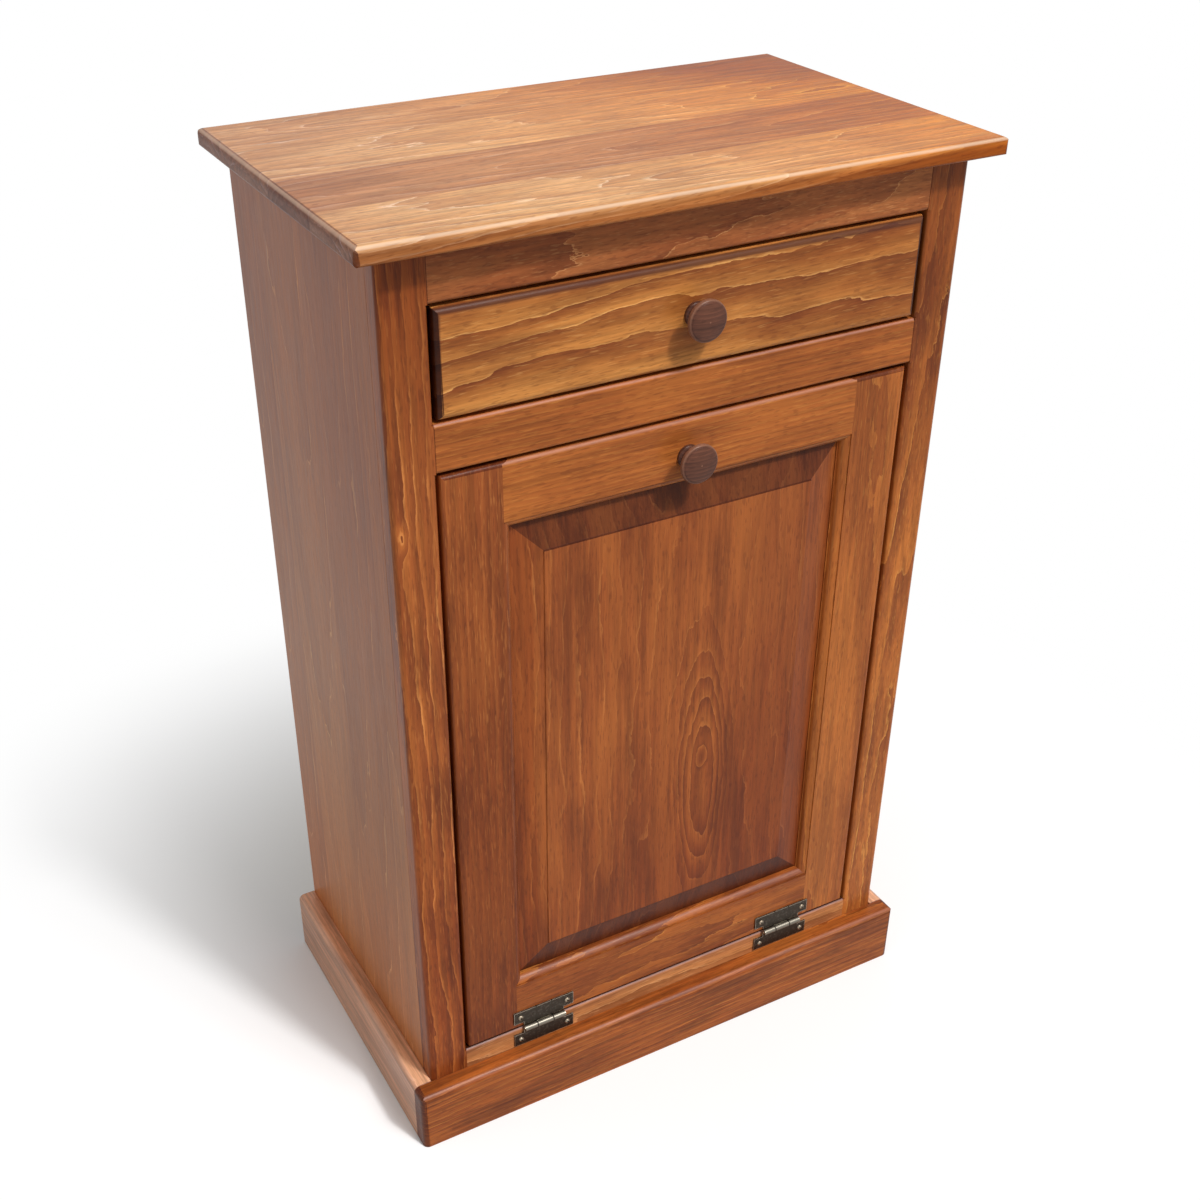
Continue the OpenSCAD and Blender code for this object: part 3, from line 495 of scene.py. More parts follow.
def ends_and_edges(tree, look, colour, facing, along_grain):
    face = add_node(tree, "ShaderNodeSeparateXYZ", i0=(along_grain, 0))
    ends = add_node(tree, MATH, "ABSOLUTE", i0=(face, "Z"))
    thirst = add_node(tree, RANGE, i0=(ends, 0), i1=END_FROM, i2=END_FULL, i4=look["end_dark"])
    ended = add_node(tree, MIX, TINT, i0=(thirst, 0), i6=colour, i7=hex_linear(look["end_tone"]))
    up = add_node(tree, "ShaderNodeSeparateXYZ", i0=(facing, "Normal"))
    start, full = look["edge_light_and_wear_from"]
    rounding = add_node(tree, RANGE, i0=(up, "Z"), i1=start, i2=full)
    level_off = add_node(tree, RANGE, i0=(up, "Z"), i1=LEVEL_FROM, i2=LEVEL_GONE)
    rounded = add_node(tree, MATH, "MULTIPLY", i0=(rounding, 0), i1=(level_off, 0))
    side_grain = add_node(tree, RANGE, i0=(ends, 0), i1=CROSSCUT,
                          i2=LENGTHWISE, i3=look["rub_ends"], i4=look["rub"])
    # Edge tone: stain sanded thin plus a pale painted sheen, and dark painted shade on the drawer
    # front
    edge_share = add_node(tree, MATH, "MULTIPLY", i0=(rounded, 0), i1=(side_grain, 0))
    return add_node(tree, MIX, COLOURS, i0=(edge_share, 0), i6=(ended, 2), i7=hex_linear(look["edge_light_and_wear_tone"]))


# %% [markdown]
# ### The whole wood
# The steps follow each other as on the bench: the board is cut from the trunk, which
# sets the rings, then stained, then sanded and varnished. Painted shade and sheen come in
# with the stain and the sanding. The varnish is thin, so the fibres still change its
# gloss a little and stand up under it.

# %% Wood material
FIBRE_SINKS, FIBRE_STANDS, SMOOTHER, ROUGHER = 0.3, 0.7, 0.05, 0.06
RELIEF_STRENGTH, RELIEF_DEPTH, VARNISH_IOR = 0.22, 0.0004, 1.5


def wood(name, along, pith, stain, **changes):
    """Wood with rings round a pith line through the point pith. Lengths are in mm."""
    look = {**USUAL_WOOD, **changes}
    look.update(zip(["pale", "gold", "brown", "dark", "patch"], map(hex_linear, stain)))
    look["turn"] = [radians(a) for a in GRAIN_TURN[along]]
    material, tree = empty_material(name)
    grain, draw = from_point(tree, pith, look["turn"]), None
    if look["stave"]:
        grain, draw = split_in_staves(tree, look, grain)
    tilt = add_node(tree, "ShaderNodeMapping", i0=(grain, 0),
                    Rotation=(radians(look["lean"][0]), radians(look["lean"][1]), 0.0))
    facing = add_node(tree, "ShaderNodeTexCoord")
    along_grain = add_node(tree, "ShaderNodeMapping", {"vector_type": "VECTOR"},
                           i0=(facing, "Normal"), Rotation=look["turn"])
    place = (tilt, 0)
    reach, clear, outward = ring_distance(tree, look, place)
    toned, season = year_colours(tree, look, reach, clear)
    lined = pale_line(tree, look, place, season, clear, outward, along_grain)
    drawn = add_node(tree, MIX, COLOURS, i0=(lined, 0), i6=(toned, 2), i7=look["pale"])
    colour, fibre = fine_figure(tree, look, place, (drawn, 2))
    colour = wiped_stain_and_shade(tree, look, colour, draw)
    # End grain, and on rounded upper edges sanded wear with painted sheen, or on the drawer front
    # painted shade
    rubbed = ends_and_edges(tree, look, colour, facing, along_grain)
    sheen = add_node(tree, RANGE, i0=(fibre, 0), i1=FIBRE_SINKS, i2=FIBRE_STANDS,
                     i3=look["gloss"] - SMOOTHER, i4=look["gloss"] + ROUGHER)
    relief = add_node(tree, "ShaderNodeBump", Strength=RELIEF_STRENGTH, Distance=RELIEF_DEPTH,
                      Height=(fibre, 0))
    skin = add_node(tree, "ShaderNodeBsdfPrincipled", Base_Color=(rubbed, 2),
                    Roughness=(sheen, 0), IOR=VARNISH_IOR, Specular_IOR_Level=look["varnish"],
                    Normal=(relief, 0))
    add_node(tree, "ShaderNodeOutputMaterial", Surface=(skin, 0))
    return material


# %% [markdown]
# ## Which way each board's grain runs
# A joiner lays the grain along the longest side: upright in stiles, sides and panel,
# level in rails, top and drawer front, front to back in the base sides. Every board
# gets its own pith, so no two boards look alike: a pith right behind the face gives
# arches, and one far beside it gives stripes. The top and the sides are glued up from
# staves. The panel is one wide board with a hump, whose ovals make the eye in it.

# %% Stains
# Of each: pale ring line, gold, brown, dark ring, blotches
GOLDEN = ("#e6a862", "#cc8744", "#aa6630", "#7a3b1c", "#642f1a")
WARM = ("#e09a4c", "#c17233", "#a35a29", "#7c3d1b", "#5f2b14")
REDDISH = ("#d98c4a", "#b1652f", "#954e25", "#74381b", "#5a2916")
LIVELY = ("#e8ae78", "#ca8650", "#ac6c40", "#864e2c", "#6a3922")
TAWNY = ("#e6a86a", "#ce874d", "#ac6537", "#7a3b1f", "#642f1c")
TOP = ("#f4d3b0", "#e6b27a", "#d29962", "#b0754a", "#96603e")
SIDE = ("#f0b078", "#cf834c", "#c07742", "#ab6334", "#904f2e")
BASE_SIDE = ("#f2c3a0", "#e4ab83", "#d89c74", "#c0835c", "#a86e4c")
BARE = ("#e3c088", "#e8cb9c", "#e0bf8c", "#cda36a", "#d3ad78")
PLY = ("#dfc08f", "#e2c79c", "#d8b987", "#c8a26d", "#cba877")
# Edge and end tones that paint light: a dark edge and dark end grain as painted shade on the
# drawer front, and a mauve painted sheen on upper edges of rails and base
EDGE_IN_SHADE, END_GRAIN_IN_SHADE, MAUVE_SHEEN = "#4a261c", "#5a464a", "#cfa59c"

# %% Boards
SIDE_BOARD = dict(along="Z", stain=SIDE, period=13, wave=14, ragged=1.2, figure=0.45, line=0.9,
                  blotch=0.35, cloud=(50, 300), fibres=0.12, dashes=0.15,
                  # The first shade darkens upward, so the bottom stays lighter as painted light
                  # thrown up from the base; the second darkens the upper front
                  stain_and_painted_shade=[((0, 0, 60), (0, 0, 360), "#e0e0c8"),
                          ((0, 60, 300), (0, -150, 700), "#e7cfb5")])
BASE_BOARD = dict(lean=(0.9, 0.6), figure=0.7, line=0.35, blotch=0.5, cloud=(20, 110),
                  fibres=0.34, dashes=0.2, rub=0.12, edge_light_and_wear_tone=MAUVE_SHEEN)

BOARDS = {
    "top_board": dict(along="X", pith=(0, 0, 806), stain=TOP, lean=(0.6, 3.0),
                      stave=("Y", 84, 20.0, "#d3bcb6"), ragged=1.0, figure=0.6, blotch=0.35,
                      cloud=(40, 220), fibres=0.22, varnish=0.08, rub=0.6, rub_ends=0.35,
                      edge_light_and_wear_from=(0.5, 0.75), end_tone="#9c859a", flecks=0.4, dashes=0.2,
                      # Shades of the top: darker and more saturated towards the right and back;
                      # bluish towards the left as a painted sheen of the sky; darker on the front
                      # edge as painted shade
                      stain_and_painted_shade=[((-150, -150, 866), (270, 80, 866), "#f4c24c"),
                              ((-60, 20, 866), (-230, 100, 866), "#eeedfb"),
                              ((150, 40, 866), (210, 140, 866), "#c4aca4"),
                              ((0, -163.5, 866), (0, -167, 859.5), "#cfb097")],
                      humps=[((10, -128, 866), 22, 130, -12), ((225, 24, 866), 24, 120, -12),
                             ((-150, 126, 866), 18, 110, -12)]),
    "left_side": dict(pith=(-190, 0, 480), lean=(0.5, 2.6), stave=("Y", 101, 1.0, "#ebe0dc"),
                      **SIDE_BOARD),
    "right_side": dict(pith=(190, 0, 480), lean=(0.5, -2.6), stave=("Y", 101, 7.0, "#ebe0dc"),
                       **SIDE_BOARD),
    "left_stile": dict(along="Z", pith=(-330, -100, 480), stain=REDDISH, period=10,
                       lean=(0.3, 0.4), wave=14, ragged=2.0, figure=0.85, blotch=0.45,
                       fibres=0.24, humps=[((-244, -144, 638), 9, 20, -9)],
                       # The first shade darkens the top as painted shadow of the top's overhang;
                       # the second darkens towards the bottom
                       stain_and_painted_shade=[((0, 0, 640), (0, 0, 820), "#d6c8bf"),
                               ((0, 0, 500), (0, 0, 150), "#e0cdc0")]),
    "right_stile": dict(along="Z", pith=(252, -118, 480), stain=WARM, period=14,
                        lean=(5.0, 0.6), wave=18, ragged=2.6, figure=0.8,
                        stain_and_painted_shade=[((0, 0, 480), (0, 0, 800), "#cfc2c2")]),
    "top_rail": dict(along="X", pith=(0, -95, 835), stain=TAWNY, period=13, lean=(5.5, 0.6),
                     wave=20, ragged=3.0, figure=0.5, line=0.9, blotch=0.25, rub=0.0,
                     stain_and_painted_shade=[((250, 0, 0), (-100, 0, 0), "#dcd0d0")]),
    "mid_rail": dict(along="X", pith=(0, -120, 480), stain=WARM, period=6, lean=(0.3, 0.2),
                     wave=6, figure=0.3, line=0.15, edge_light_and_wear_tone=MAUVE_SHEEN, dashes=0.2),
    "low_rail": dict(along="X", pith=(0, -70, 40), stain=LIVELY, period=8, lean=(0.5, 0.3),
                     line=0.5, edge_light_and_wear_tone=MAUVE_SHEEN,
                     # Its top face behind the front, inside the gap under the door, is painted
                     # dark as shade
                     stain_and_painted_shade=[((0, -143.9, 0), (0, -143.2, 0), "#6b5650")]),
    "base_front": dict(along="X", pith=(0, -150, -160), stain=WARM,
                       stain_and_painted_shade=[((-300, 0, 0), (-290, 0, 0), "#dfd2c8")], **BASE_BOARD),
    # Base sides take a light stain with the outer faces darkened, so the ledge on top is painted
    # lighter than the face below it
    "base_left": dict(along="Y", pith=(-250, 0, -140), stain=BASE_SIDE, varnish=0.5,
                      stain_and_painted_shade=[((-266, 0, 0), (-272, 0, 0), "#e6dfdc")], **BASE_BOARD),
    "base_right": dict(along="Y", pith=(250, 0, -140), stain=BASE_SIDE, varnish=0.5,
                       stain_and_painted_shade=[((266, 0, 0), (272, 0, 0), "#e6dfdc")], **BASE_BOARD),
    "drawer_front": dict(along="X", pith=(420, -58, 641), stain=GOLDEN, period=21, lean=(0.8, 2.0),
                         # The drawer front's upper rounded edge and its end grain take dark tones
                         # as painted shade
                         wave=28, ragged=3.0, figure=0.95, line=0.9, rub=0.85, edge_light_and_wear_tone=EDGE_IN_SHADE,
                         edge_light_and_wear_from=(0.05, 0.25), end_dark=1.0, end_tone=END_GRAIN_IN_SHADE,
                         stain_and_painted_shade=[((-60, -150, 740), (230, -150, 800), "#e9e0dd")]),
    "door_left_stile": dict(along="Z", pith=(-420, -120, 480), stain=REDDISH,
                            lean=(0.3, 0.2), wave=9, figure=0.3, line=0.15, blotch=0.5,
                            cloud=(30, 160), rub=0.1, dashes=0.35,
                            stain_and_painted_shade=[((0, 0, 700), (0, 0, 250), "#d0c2bc")]),
    "door_right_stile": dict(along="Z", pith=(170, -60, 480), stain=WARM, period=13,
                             lean=(0.5, 0.4), wave=14, ragged=1.2, figure=0.4, line=0.2,
                             blotch=0.25, cloud=(36, 180), rub=0.1, dashes=0.2),
    "door_top_rail": dict(along="X", pith=(0, -150, 470), stain=WARM, period=5, lean=(0.2, 0.2),
                          wave=6, figure=0.3, line=0.15, blotch=0.35, rub=0.25, edge_light_and_wear_tone=MAUVE_SHEEN,
                          dashes=0.2),
    "door_low_rail": dict(along="X", pith=(0, -85, 118), stain=WARM, period=10,
                          lean=(2.6, 0.5), wave=18, ragged=2.2, line=0.9, blotch=0.5, rub=0.15,
                          edge_light_and_wear_tone=MAUVE_SHEEN,
                          stain_and_painted_shade=[((-300, 0, 0), (-290, 0, 0), "#dccfca")]),
    "door_panel": dict(along="Z", pith=(31, 10, 330), stain=REDDISH, period=9,
                       lean=(1.0, 0.5), wave=16, ragged=1.6, figure=0.3, line=0.35,
                       blotch=0.6, cloud=(34, 200), dashes=0.1, rub=0.1, end_dark=1.0,
                       end_tone="#9088a2",
                       stain_and_painted_shade=[((-60, -150, 430), (100, -150, 250), "#dccbc4"),
                               ((30, 0, 0), (110, 0, 0), "#f3f0f5"),
                               # This last shade darkens the left bevel, painted shade on a slope
                               # turned from the sun
                               ((-136, 0, 0), (-138, 0, 0), "#ece0dc")],
                       humps=[((30, -141, 318), 46, 210, -38), ((30, -141, 338), 9, 20, 13)]),
}
print("boards with a figure of their own:", len(BOARDS))

# %% [markdown]
# ## Eased edges
# A joiner takes the sharpness off every edge with sandpaper, about half a millimetre.
# It hardly changes the size, but it is what catches the light and what draws the thin
# lines where two boards meet. A copy of each CAD solid is merged and cleaned, gets a
# bevel on its sharp edges, and stands in for the node.

# %% Dress a node
FLAT_FROM, SHARP_FROM = radians(12.5), radians(38)
SAME_PLACE, SAME_PLANE = 1e-6, radians(0.5)


def place_piece(name, mesh, material, body):
    piece = bpy.data.objects.new(name, mesh)
    scene.collection.objects.link(piece)
    mesh.materials.clear()
    mesh.materials.append(material)
    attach(piece, body)
    return piece


def eased_mesh(node, ease):
    """A cleaned copy of a node's mesh with its sharp edges eased by so many mm."""
    work = bmesh.new()
    work.from_mesh(NODES[node].data)
    bmesh.ops.remove_doubles(work, verts=work.verts, dist=SAME_PLACE)
    bmesh.ops.dissolve_limit(work, angle_limit=SAME_PLANE, verts=work.verts, edges=work.edges)
    for edge in work.edges:
        # Facets of round shapes meet at less than 12 degrees, flat bevels at more.
        edge.smooth = not FLAT_FROM < edge.calc_face_angle(0) < SHARP_FROM
    mesh = bpy.data.meshes.new(node + "_clean")
    work.to_mesh(mesh)
    work.free()
    helper = bpy.data.objects.new("helper", mesh)
    scene.collection.objects.link(helper)
    bevel = helper.modifiers.new("ease", "BEVEL")
    bevel.width = ease * MM
    bevel.segments = 2
    bevel.limit_method = "ANGLE"
    bevel.angle_limit = SHARP_FROM
    weigh = helper.modifiers.new("weigh", "WEIGHTED_NORMAL")
    weigh.keep_sharp = True
    graph = bpy.context.evaluated_depsgraph_get()
    finished = bpy.data.meshes.new_from_object(helper.evaluated_get(graph))
    bpy.data.objects.remove(helper)
    return finished


def dress(node, material, ease):
    piece = place_piece(node + "_dressed", eased_mesh(node, ease), material, BODY_OF[node])
    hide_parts(node)


# %% Dress the stained boards
BOARD_EASE, BARE_EASE, SHEET_EASE, KNOB_EASE, LEAF_EASE = 0.6, 0.5, 0.3, 0.3, 0.4

for node, facts in BOARDS.items():
    dress(node, wood(node + "_stained_pine", **facts), BOARD_EASE)
print("stained boards:", len(BOARDS))

# %% [markdown]
# ## Bare pine and plywood inside
# What the customer doesn't see is left bare: pale planed pine for the drawer box, the
# runners and the carrier, and birch plywood for the thin panels. Bare wood has no
# varnish, so it scatters the light and its grain stays quiet. The faces of plywood are
# peeled off the trunk along its rings, so their figure is broad and wavy.

# %% Bare wood
BARE_ALONG = {
    "X": ["back_stretcher", "front_top_cleat", "back_top_cleat", "door_stop", "drawer_back",
          "carrier_low_rail", "carrier_stop_rail"],
    "Y": ["left_runner", "right_runner", "left_guide", "right_guide", "left_kicker",
          "right_kicker", "drawer_stops", "drawer_left_side", "drawer_right_side"],
    "Z": ["glue_blocks", "carrier_cleats", "carrier_left_side", "carrier_right_side"],
}
SHEETS = ["back_panel", "floor_panel", "drawer_bottom", "carrier_floor"]
DULL = dict(gloss=0.62, varnish=0.3, rub=0.0, end_dark=0.35, flecks=0.15, fibres=0.06,
            dashes=0.1, line=0.2)
BARE_PITH, PLY_PITH = (40, 60, 300), (0, -200, 900)

for axis, names in BARE_ALONG.items():
    bare = wood("planed_bare_pine_along_" + axis.lower(), axis, BARE_PITH, BARE, period=6,
                figure=0.5, blotch=0.2, wave=8, **DULL)
    for node in names:
        dress(node, bare, BARE_EASE)
plywood = wood("birch_plywood", "X", PLY_PITH, PLY, period=14, figure=0.4, blotch=0.25,
               wave=30, **DULL)
for node in SHEETS:
    dress(node, plywood, SHEET_EASE)
print("bare boards:", sum(map(len, BARE_ALONG.values())), "plywood sheets:", len(SHEETS))

# %% [markdown]
# ## Turned knobs
# The knobs are turned from a hardwood with close rings and stained darker than the case,
# so little figure shows. The rim of the disc is sanded thin and shows as a lighter line,
# and the lathe's centre leaves a dot.

# %% Dark stained knobs
DARK_STAIN = ("#7d4d3a", "#6b4231", "#5d382a", "#4a2b21", "#40241a")
SANDED_WOOD = "#a5755c"
KNOB_AXIS_Z = {"drawer_knob": 766.0, "door_knob": 647.5}
KNOB_RADIUS, RIM_FROM, RIM_FULL, RIM_LIGHT = 16.75, 1.6, 0.4, 0.45
DOT_FROM, DOT_FULL, DOT_LIGHT = 0.9, 0.3, 0.55
PITH_BELOW = 90

for node, height in KNOB_AXIS_Z.items():
    pith = (0, -120, height - PITH_BELOW)
    turned = wood(node + "_dark_stained_hardwood", "X", pith, DARK_STAIN,
                  period=3, figure=0.8, line=0.1, gloss=0.36, varnish=0.2, wave=3, ragged=0.6,
                  rub=0.0, end_dark=0.3, dashes=0.1)
    tree = turned.node_tree
    axis = from_point(tree, (0, 0, height), NO_TURN)
    disc = add_node(tree, VECTOR, "MULTIPLY", i0=(axis, 0), i1=(1.0, 0.0, 1.0))
    out = add_node(tree, VECTOR, "LENGTH", i0=(disc, 0))
    rim = add_node(tree, RANGE, i0=(out, "Value"), i1=KNOB_RADIUS - RIM_FROM,
                   i2=KNOB_RADIUS - RIM_FULL, i4=RIM_LIGHT)
    dot = add_node(tree, RANGE, i0=(out, "Value"), i1=DOT_FROM, i2=DOT_FULL, i4=DOT_LIGHT)
    light = add_node(tree, MATH, "MAXIMUM", i0=(rim, 0), i1=(dot, 0))
    skin = tree.nodes["Principled BSDF"]
    plain = skin.inputs["Base Color"].links[0].from_socket
    lit = add_node(tree, MIX, COLOURS, i0=(light, 0), i7=hex_linear(SANDED_WOOD))
    tree.links.new(plain, lit.inputs[6])
    tree.links.new(lit.outputs[2], skin.inputs["Base Color"])
    dress(node, turned, KNOB_EASE)
print("knobs:", len(KNOB_AXIS_Z))

# %% [markdown]
# ## The barrel of a hinge
# A barrel stands proud of its leaves, so hands and doors rub it bright. Next to the gaps
# between its knuckles it keeps its dark tone, as painted shade in the gaps, which lie
# mirrored on each hinge and on both hinges.

# %% Barrel wear
HINGE_AXIS, BARREL_RADIUS, HINGE_MIDDLE, KNUCKLE_END = (0.0, -147.7, 89.25), 3.1, 136.0, 8.35
PROUD_BY, PROUD_SHARE, GAP_SHADE_FULL, GAP_SHADE_GONE = 0.3, 0.35, 0.4, 0.9


def barrel_wear(tree, rubbed, worn):
    """The rubbed share of the metal, with the barrel added and painted shade at the knuckle gaps.
    """
    pin = from_point(tree, HINGE_AXIS, NO_TURN)
    round_pin = add_node(tree, VECTOR, "MULTIPLY", i0=(pin, 0), i1=(0.0, 1.0, 1.0))
    off = add_node(tree, VECTOR, "LENGTH", i0=(round_pin, 0))
    proud = add_node(tree, RANGE, i0=(off, "Value"), i1=BARREL_RADIUS + PROUD_BY,
                     i2=BARREL_RADIUS, i4=worn * PROUD_SHARE)
    bright = add_node(tree, MATH, "MAXIMUM", i0=(rubbed, 0), i1=(proud, 0))
    along = add_node(tree, "ShaderNodeSeparateXYZ", i0=(pin, 0))
    reach = (along, "X")
    # Next to each knuckle gap the bright share falls away, as painted shade
    for distance in (HINGE_MIDDLE, KNUCKLE_END, 0.0):
        mirrored = add_node(tree, MATH, "ABSOLUTE", i0=reach)
        moved = add_node(tree, MATH, "SUBTRACT", i0=(mirrored, 0), i1=distance)
        reach = (moved, 0)
    unshaded = add_node(tree, RANGE, i0=reach, i1=GAP_SHADE_FULL, i2=GAP_SHADE_GONE)
    return add_node(tree, MATH, "MULTIPLY", i0=(bright, 0), i1=(unshaded, 0))


# %% [markdown]
# ## Aged brass and plated steel
# Aged brass is chemically blackened and then rubbed, so the flats stay dark and the edges
# and the barrel shine through. Zinc plating leaves steel an even, cool, pale grey with
# faint cloudy spots. The Bevel node rounds the normal near an edge, and where it differs
# from the plain normal the metal is rubbed bright. Only the floor of a screw's recess
# looks straight out of its domed head, and it is painted dark as shade in the recess.

# %% Metal
EDGE_REACH, EDGE_FLAT, EDGE_WORN = 0.001, 0.99, 0.93
SPOT_SCALE, SPOT_FROM, SPOT_FULL = 420.0, 0.5, 0.75
RECESS_FROM, RECESS_FULL = -0.965, -0.985
DARK_ROUGHER, BRIGHT_SMOOTHER = 0.1, 0.08


def metal(name, dark, bright, rough, worn, mottled, barrel=False, recess_shade=None):
    """A metal that turns from its dark to its bright tone where it is rubbed."""
    material, tree = empty_material(name)
    where = add_node(tree, "ShaderNodeTexCoord")
    mottle = add_node(tree, "ShaderNodeTexNoise", Vector=(where, "Object"), Scale=SPOT_SCALE,
                      Detail=4.0)
    plain = add_node(tree, "ShaderNodeNewGeometry")
    soft = add_node(tree, "ShaderNodeBevel", {"samples": 6}, Radius=EDGE_REACH)
    same = add_node(tree, VECTOR, "DOT_PRODUCT", i0=(plain, "Normal"), i1=(soft, 0))
    rim = add_node(tree, RANGE, i0=(same, "Value"), i1=EDGE_FLAT, i2=EDGE_WORN, i4=worn)
    spots = add_node(tree, RANGE, i0=(mottle, 0), i1=SPOT_FROM, i2=SPOT_FULL, i4=mottled)
    rubbed = add_node(tree, MATH, "MAXIMUM", i0=(rim, 0), i1=(spots, 0))
    if barrel:
        rubbed = barrel_wear(tree, rubbed, worn)
    tint = add_node(tree, MIX, COLOURS, i0=(rubbed, 0), i6=hex_linear(dark), i7=hex_linear(bright))
    if recess_shade:
        # The floor of a screw's recess is painted dark as shade
        looks = add_node(tree, "ShaderNodeSeparateXYZ", i0=(where, "Normal"))
        out = add_node(tree, RANGE, i0=(looks, "Y"), i1=RECESS_FROM, i2=RECESS_FULL)
        tint = add_node(tree, MIX, COLOURS, i0=(out, 0), i6=(tint, 2), i7=hex_linear(recess_shade))
    haze = add_node(tree, RANGE, i0=(rubbed, 0), i3=rough + DARK_ROUGHER,
                    i4=rough - BRIGHT_SMOOTHER)
    skin = add_node(tree, "ShaderNodeBsdfPrincipled", Base_Color=(tint, 2), Roughness=(haze, 0),
                    Metallic=1.0)
    add_node(tree, "ShaderNodeOutputMaterial", Surface=(skin, 0))
    return material


# %% Hinges, pins and steel trim
BRASS = dict(dark="#3f3831", bright="#bfb8a8", rough=0.38, worn=0.9, mottled=0.12)
RUBBED_BRASS = dict(dark="#857868", bright="#d8cbb4", rough=0.34, worn=0.7, mottled=0.3)
ZINC = dict(dark="#a9aaa8", bright="#d4d4d0", rough=0.30, worn=0.5, mottled=0.3)


def paint(node, material):
    mesh = NODES[node].data
    mesh.materials.clear()
    mesh.materials.append(material)


aged_brass = metal("blackened_rubbed_brass", **BRASS, barrel=True)
barrel_brass = metal("rubbed_brass_pin", **RUBBED_BRASS)
screw_brass = metal("rubbed_brass_screws", **RUBBED_BRASS, recess_shade="#1d1714")
zinc = metal("zinc_plated_steel", **ZINC)
for side_name in ["left", "right"]:
    for leaf in ["lower", "upper"]:
        dress(f"{side_name}_hinge_{leaf}_leaf", aged_brass, LEAF_EASE)
    paint(f"{side_name}_hinge_pin", barrel_brass)
for node in ["top_screws", "drawer_knob_screw", "door_knob_screw", "strike_plate"]:
    paint(node, zinc)
print("metals: aged brass, rubbed brass, zinc plated steel")

# %% [markdown]
# ## Moulded nylon
# The catch housing is injection moulded nylon: milky white and satin, with the fine grit
# of the steel mould on its skin.

# %% Nylon catch
GRIT_SCALE, GRIT_STRENGTH, GRIT_DEPTH = 900.0, 0.15, 0.0002

nylon = bpy.data.materials.new("moulded_white_nylon")
nylon.use_nodes = True
tree = nylon.node_tree
skin = tree.nodes["Principled BSDF"]
where = add_node(tree, "ShaderNodeTexCoord")
grit = add_node(tree, "ShaderNodeTexNoise", Vector=(where, "Object"), Scale=GRIT_SCALE)
relief = add_node(tree, "ShaderNodeBump", Strength=GRIT_STRENGTH, Distance=GRIT_DEPTH,
                  Height=(grit, 0))
tree.links.new(relief.outputs[0], skin.inputs["Normal"])
skin.inputs["Base Color"].default_value = hex_linear("#e8e3d8")
skin.inputs["Roughness"].default_value = 0.5
paint("catch_housing", nylon)
print("plastic:", nylon.name)

# %% [markdown]
# ## What repeats
# Screws and nails repeat, so a Geometry Nodes tree makes each kind from lengths with
# names. The tree runs once on an empty mesh, and its result is kept as a plain mesh.

# %% Run a tree
SMOOTH_BELOW = radians(35)


def named_inputs(tree, names):
    """Adds a length for each name, a material and the geometry that comes out."""
    sockets = {name: tree.interface.new_socket(name, in_out="INPUT",
                                               socket_type="NodeSocketFloat").identifier
               for name in names}
    sockets["Finish"] = tree.interface.new_socket("Finish", in_out="INPUT",
                                                  socket_type="NodeSocketMaterial").identifier
    tree.interface.new_socket("Geometry", in_out="OUTPUT", socket_type="NodeSocketGeometry")
    return sockets


def finished_mesh(name, tree, values):
    """Runs a tree on an empty mesh and returns the plain result."""
    helper = bpy.data.objects.new(name + "_helper", bpy.data.meshes.new(name + "_seed"))
    scene.collection.objects.link(helper)
    maker = helper.modifiers.new(name, "NODES")
    maker.node_group = tree
    for identifier, value in values.items():
        maker[identifier] = value
    graph = bpy.context.evaluated_depsgraph_get()
    mesh = bpy.data.meshes.new_from_object(helper.evaluated_get(graph))
    bpy.data.objects.remove(helper)
    mesh.shade_smooth()
    mesh.set_sharp_from_angle(angle=SMOOTH_BELOW)
    return mesh


# %% [markdown]
# ## Hinge screws
# Two screws hold each leaf. The tree lays out a row with two holes in each of the two
# hinges, and the lengths below say where.

# %% Screw holes
screws = bpy.data.node_groups.new("hinge_screws", "GeometryNodeTree")
SCREW = named_inputs(screws, [
    "First hinge", "Hinge step", "First hole", "Hole step", "Face", "Height", "Head radius",
    "Head height", "Recess radius", "Slot length", "Slot width", "Shank radius",
    "Shank length"])
size = add_node(screws, "NodeGroupInput")
hinge_start = add_node(screws, XYZ, X=(size, "First hinge"),
                       Y=(size, "Face"), Z=(size, "Height"))
hinge_offset = add_node(screws, XYZ, X=(size, "Hinge step"))
hole_start = add_node(screws, XYZ, X=(size, "First hole"))
hole_offset = add_node(screws, XYZ, X=(size, "Hole step"))
hinges = add_node(screws, "GeometryNodeMeshLine", Count=2, Start_Location=(hinge_start, 0),
                  Offset=(hinge_offset, 0))
pair = add_node(screws, "GeometryNodeMeshLine", Count=2, Start_Location=(hole_start, 0),
                Offset=(hole_offset, 0))
spread = add_node(screws, "GeometryNodeInstanceOnPoints", Points=(hinges, 0), Instance=(pair, 0))
holes = add_node(screws, "GeometryNodeRealizeInstances", Geometry=(spread, 0))
print("lengths of the screw tree:", len(SCREW) - 1)

# %% [markdown]
# The head is a ball squeezed to its width and height, and its lower half is sunk in the
# leaf. A pit and two crossed bars are cut out of it, as the punch that forms a cross
# recess leaves it. The shank runs straight into the wood.

